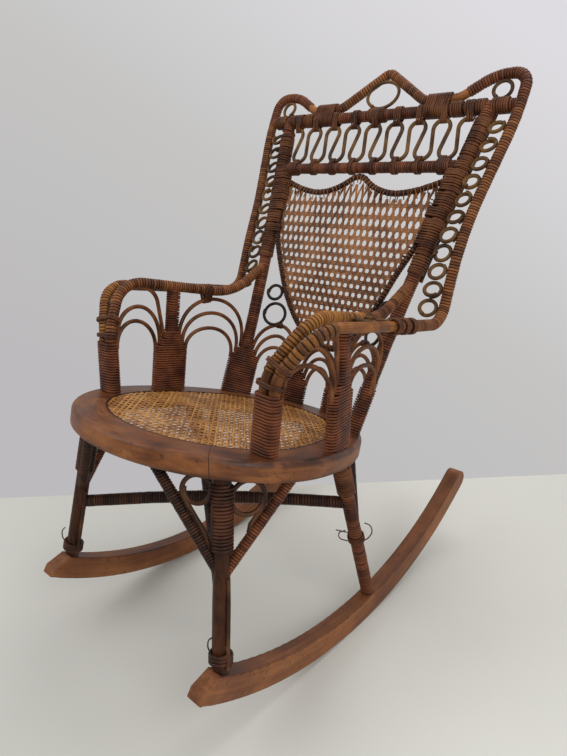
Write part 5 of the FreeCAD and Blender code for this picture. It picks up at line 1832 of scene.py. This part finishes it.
@dataclass
class Arcade:
    """Wound fans on the rim, the mid posts and the ranks of reed arches."""

    thickness: float = 0.022
    cane: float = 0.0040
    pitch: float = 0.0048
    steps: int = 2
    step_turns: int = 3
    sunk_turns: int = 3
    reed: float = 0.004
    mid_radius: float = 0.0095
    mid_x: float = 0.221
    mid_y: float = 0.038
    mid_head_y: float = -0.074
    bundle: float = 0.0085
    rear_x: float = 0.054
    rear_y: float = 0.245
    rear_lean: float = math.radians(18.0)
    tie_cane: float = 0.0016
    tie_pitch: float = 0.0036
    front_crowns: tuple[float, ...] = (0.138, 0.168)
    side_crowns: tuple[float, ...] = (0.132, 0.166, 0.197)
    rear_crowns: tuple[float, ...] = (0.112, 0.138, 0.162)
    centre_crowns: tuple[float, ...] = (0.086, 0.106, 0.126)

    def mid_line(self, arms: Arms) -> tuple[Vector, Vector, Vector]:
        """Foot, axis and head of the left mid post."""
        foot = STANCE.seat(self.mid_x, self.mid_y)
        head = arms.inner_at(self.mid_head_y)
        return foot, (head - foot).normalized(), head

    def fans(self, seat: Seat, back: BackFrame, arms: Arms) -> dict[str, Fan]:
        """The fans of the left side, by name."""
        foot, axis, _ = self.mid_line(arms)
        back_foot = STANCE.back(back.foot_u, 0.0)
        back_axis = (STANCE.back(back.bend_u, back.bend_v) - back_foot).normalized()
        back_across = seat.rim_direction(back.foot_u, STANCE.back_foot)
        rear_foot = STANCE.seat(self.rear_x, self.rear_y)
        rear_axis, _ = leaning(self.rear_lean)
        rear_across = seat.rim_direction(self.rear_x, self.rear_y)
        return {"mid": Fan(foot, axis, seat.rim_direction(self.mid_x, self.mid_y), 0.074, 24),
                "back": Fan(back_foot, back_axis, back_across, 0.068, 22),
                "rear": Fan(rear_foot, rear_axis, rear_across, 0.060, 16)}

    def lift(self, fan: Fan) -> float:
        """Height at which a fan's first turn clears the rim."""
        across = square_to(fan.across, fan.axis)
        depth = fan.axis.cross(across)
        up = STANCE.seat_up
        reach = abs(across.dot(up)) * fan.width + abs(depth.dot(up)) * self.thickness + self.cane
        return reach / 2 + SLACK

    def level(self, fan: Fan, step: int) -> float:
        """Height at which a step of a fan ends."""
        above = self.step_turns * (self.steps - step)
        return self.lift(fan) + (fan.turns - above) * self.pitch + self.cane / 2

    def windings(self, fans: dict[str, Fan]) -> None:
        """Winds each fan with cane and dresses its core."""
        for name, fan in fans.items():
            belts = []
            for turn in range(fan.turns):
                step = max(0, self.steps - (fan.turns - 1 - turn) // self.step_turns)
                spread = fan.width - step * 4 * self.reed - self.thickness
                radius = (self.thickness - self.cane) / 2
                belts.append(Belt(radius, radius, spread))
            start = fan.foot + fan.axis * (self.lift(fan) - self.sunk_turns * self.pitch)
            belts = belts[:1] * self.sunk_turns + belts
            route = coil(start, fan.axis, fan.across, belts, self.pitch, 0.07, 91)
            for side in Side:
                Bench.dress(f"{name}_palmette_{side}", CORE)
                piece = Bench.reed([route.sided(side)], self.cane / 2 + 0.0001, 8, 92 + side.value)
                Bench.settle(piece, f"{name}_fan_{side}_cane", BINDING_RED, "palmette_windings")

    def mid_posts(self, arms: Arms, fans: dict[str, Fan]) -> None:
        """Winds the mid posts from their fans to the arms."""
        foot, axis, head = self.mid_line(arms)
        start = foot + axis * (self.level(fans["mid"], self.steps) - 0.004)
        turns = int((head - start).length / self.pitch) - 1
        belt = Belt(self.bundle, self.bundle, self.bundle, 26)
        for side in Side:
            rod = Bench.wound(Route((start, head)).sided(side), self.mid_radius + SLACK, 0.0046, 95, 12)
            Bench.settle(rod, f"mid_post_{side}_cane", WOUND_RED, f"mid_post_{side}")
            bundle = coil(start, axis, fans["mid"].across, [belt] * turns, self.pitch, 0.12, 94)
            piece = Bench.reed([bundle.sided(side)], self.cane / 2, 8, 93)
            Bench.settle(piece, f"mid_post_{side}_binding", BINDING_RED)

    def springing(self, fan: Fan, way: float) -> list[Springing]:
        """Foot, axis and height of each reed that starts on a fan's steps."""
        sideways = square_to(fan.across, fan.axis) * way
        starts = []
        for step in range(self.steps + 1):
            offset = fan.width / 2 - (step + 0.5) * 2 * self.reed + SLACK
            starts.append((fan.foot + sideways * offset, fan.axis, self.level(fan, step) - 0.012))
        return starts

    @staticmethod
    def arch(first: Springing, second: Springing, crown: float) -> Route:
        """A reed bent to half an ellipse.

        Args:
            first, second: Foot, axis and height of the reed's two ends.
            crown: Height of its middle.

        Returns:
            The reed's route.
        """
        count = 30
        points = []
        for index in range(count + 1):
            turn = math.pi * index / count
            spring = first[2] if index < count / 2 else second[2]
            height = spring + (crown - spring) * math.sin(turn)
            start, end = first[0] + first[1] * height, second[0] + second[1] * height
            points.append(start.lerp(end, (1 - math.cos(turn)) / 2))
        return Route(tuple(points))

    def arches(self, arms: Arms, fans: dict[str, Fan]) -> None:
        """Bends the ranks of arches from post to post."""
        foot, knee = arms.post_line()
        axis = (knee - foot).normalized()
        offset = arms.rod_radius + arms.tie_cane + self.reed + 0.0013
        front = []
        for height, (first, second, heading) in zip(arms.tie_heights, arms.tie_places()):
            behind = first.lerp(second, 0.5) + square_to(STANCE.seat_rearward, heading) * offset
            front.append((behind - axis * height, axis, height - arms.tie_cane - 0.02))
        mid_front, mid_rear = self.springing(fans["mid"], -1.0), self.springing(fans["mid"], 1.0)
        back_front, back_rear = self.springing(fans["back"], -1.0), self.springing(fans["back"], 1.0)
        rear_out, rear_in = self.springing(fans["rear"], -1.0), self.springing(fans["rear"], 1.0)
        across = [(Vector((-start.x, start.y, start.z)), way, height) for start, way, height in rear_in]
        ranks = {"front_arches": [self.arch(*ends) for ends in zip(front, mid_front, self.front_crowns)],
                 "side_arches": [self.arch(*ends) for ends in zip(mid_rear, back_front, self.side_crowns)],
                 "rear_arches": [self.arch(*ends) for ends in zip(back_rear, rear_out, self.rear_crowns)]}
        ranks["front_arches"].append(self.quarter_arch(arms, mid_front[self.steps]))
        for name, routes in ranks.items():
            for side in Side:
                piece = Bench.reed([route.sided(side) for route in routes], self.reed, 10, 96 + side.value)
                Bench.settle(piece, f"{name}_{side}_reeds", REED_BROWN, f"{name}_{side}")
        centre = [self.arch(*ends) for ends in zip(rear_in, across, self.centre_crowns)]
        Bench.settle(Bench.reed(centre, self.reed, 10, 99), "centre_arch_reeds", REED_BROWN, "centre_arches")
        self.crown_ties(ranks["side_arches"][2], ranks["rear_arches"][2], arms)

    def quarter_arch(self, arms: Arms, end: Springing) -> Route:
        """The reed that falls from the underside of the left arm to the mid fan."""
        start = arms.inner_at(-0.172)
        low = end[0] + end[1] * end[2]
        knee = Vector(((start.x + low.x) / 2, -0.112, 0.620))
        return Route.rounded([start, knee, low])

    def crown_ties(self, side_arch: Route, rear_arch: Route, arms: Arms) -> None:
        """Ties the highest side arch to the arm and winds the crown of the highest rear arch."""
        cane = self.tie_cane
        routes = []
        crown = max(side_arch.points, key=lambda point: point.z)
        rod = arms.inner_at(crown.y)
        along = square_to(Vector((0.0, 1.0, -0.26)), (rod - crown).normalized())
        belts = [Belt(self.reed + cane, arms.rod_radius + cane, (rod - crown).length, 26)] * 5
        tie = coil(crown.lerp(rod, 0.5) - along * 0.009, along, rod - crown, belts, self.tie_pitch, 0.2, 97)
        top = max(rear_arch.points, key=lambda point: point.z)
        ring = [Belt.ring(self.reed + cane, 16)] * 4
        heading = rear_arch.heading(rear_arch.reach_where(lambda point: (point - top).length, 0.0))
        small = coil(top - heading * 0.007, heading, UP, ring, self.tie_pitch, 0.2, 98)
        for side in Side:
            routes += [tie.sided(side), small.sided(side)]
        Bench.settle(Bench.reed(routes, cane, 6, 98), "arch_tie_cane", BINDING)

    def build(self, seat: Seat, back: BackFrame, arms: Arms) -> None:
        """Builds fans, mid posts and arches."""
        fans = self.fans(seat, back, arms)
        self.windings(fans)
        self.mid_posts(arms, fans)
        self.arches(arms, fans)


@dataclass
class Studio:
    """Camera, soft lamps, pale floor and backdrop."""

    eye: tuple[float, float, float] = (0.7268, -0.7962, 0.8239)
    turn: tuple[float, float] = (math.radians(71.12), math.radians(41.71))
    lens: float = 36.825
    sensor: float = 36.0
    floor_aside: float = 2.5
    floor_depth: float = 5.0

    def camera(self) -> None:
        """Sets the camera at the photograph's place."""
        bpy.ops.object.camera_add(location=self.eye, rotation=(self.turn[0], 0.0, self.turn[1]))
        camera = bpy.context.object
        camera.data.sensor_fit = "HORIZONTAL"
        camera.data.sensor_width = self.sensor
        camera.data.lens = self.lens
        camera.data.clip_start = 0.01
        bpy.context.scene.camera = camera

    def lamps(self) -> None:
        """Hangs the soft lamps."""
        for name, place, size, watts in (("key", (-1.5, -1.9, 2.3), 1.8, 34.0),
                                         ("side", (2.4, -0.9, 1.7), 1.8, 34.0),
                                         ("top", (0.2, 0.9, 2.7), 1.6, 24.0)):
            bpy.ops.object.light_add(type="AREA", location=place)
            lamp = bpy.context.object
            lamp.name = name
            lamp.data.shape = "SQUARE"
            lamp.data.size = size
            lamp.data.energy = watts
            aim = Vector((0.0, 0.05, 0.5)) - lamp.location
            lamp.rotation_euler = aim.to_track_quat("-Z", "Y").to_euler()

    def floor(self) -> None:
        """Lays the pale floor, which ends in a straight edge behind the chair."""
        Bench.clear()
        bpy.ops.mesh.primitive_plane_add(size=1.0)
        floor = bpy.context.object
        left, right = Vector((-0.780, -0.271, 0.0)), Vector((0.334, 0.905, 0.0))
        along = (right - left).normalized()
        front = Vector((along.y, -along.x, 0.0))
        left, right = left - along * self.floor_aside, right + along * self.floor_aside
        corners = [left, left + front * self.floor_depth, right + front * self.floor_depth, right]
        order = sorted(floor.data.vertices, key=lambda vertex: math.atan2(vertex.co.y, vertex.co.x))
        for vertex, corner in zip(order, corners):
            vertex.co = corner
        floor.name = "floor"
        made = bpy.data.materials.new("floor")
        made.use_nodes = True
        pen = NodePen(made.node_tree)
        shader = made.node_tree.nodes["Principled BSDF"]
        place = pen.node("ShaderNodeTexCoord").outputs["Object"]
        cloud = pen.noise(place, 1.4, 3.0)
        across, ahead, _ = pen.split(place).outputs
        share = pen.blend([(cloud, 0.5), (across, 0.25), (ahead, 0.25)])
        pale = pen.ramp(share, [(0.1, tint(197, 196, 190)), (0.5, tint(212, 211, 204))])
        pen.feed(shader.inputs["Base Color"], pale)
        shader.inputs["Roughness"].default_value = 0.75
        floor.data.materials.append(made)

    def backdrop(self) -> None:
        """Gives the world a pale wall that the camera sees and an even light."""
        world = bpy.data.worlds.new("studio")
        bpy.context.scene.world = world
        world.use_nodes = True
        world.node_tree.nodes.clear()
        pen = NodePen(world.node_tree)
        way = pen.split(pen.node("ShaderNodeTexCoord").outputs["Generated"]).outputs
        share = pen.math("ADD", pen.blend([(way[0], 0.36), (way[1], 0.32), (way[2], 0.78)]), 0.60)
        wall = pen.ramp(share, [(0.19, tint(188, 186, 188)), (0.57, tint(197, 196, 195)),
                                (0.92, tint(222, 220, 224))])
        seen = pen.node("ShaderNodeBackground", {"Color": wall, "Strength": 1.0})
        light = pen.node("ShaderNodeBackground", {"Color": (1.0, 0.99, 0.97, 1.0), "Strength": 0.52})
        rays = pen.node("ShaderNodeLightPath").outputs
        direct = pen.math("MAXIMUM", rays["Is Camera Ray"],
                          pen.math("MAXIMUM", rays["Is Glossy Ray"], rays["Is Transmission Ray"]))
        both = pen.node("ShaderNodeMixShader", {0: direct, 1: light.outputs[0], 2: seen.outputs[0]})
        pen.node("ShaderNodeOutputWorld", {"Surface": both.outputs[0]})

    def build(self) -> None:
        """Sets up the studio."""
        bpy.context.scene.view_settings.view_transform = "Standard"
        self.camera()
        self.lamps()
        self.floor()
        self.backdrop()


def main() -> None:
    """Builds the chair's looks."""
    logging.basicConfig(level=logging.INFO, format="%(name)s %(message)s")
    Studio().build()
    seat, back, arms, shield = Seat(), BackFrame(), Arms(), Shield()
    seat.build()
    Underframe().build()
    arms.build()
    back.build()
    Ornament().build(back, arms, shield)
    shield.build()
    Arcade().build(seat, back, arms)


if __name__ == "__main__":
    main()
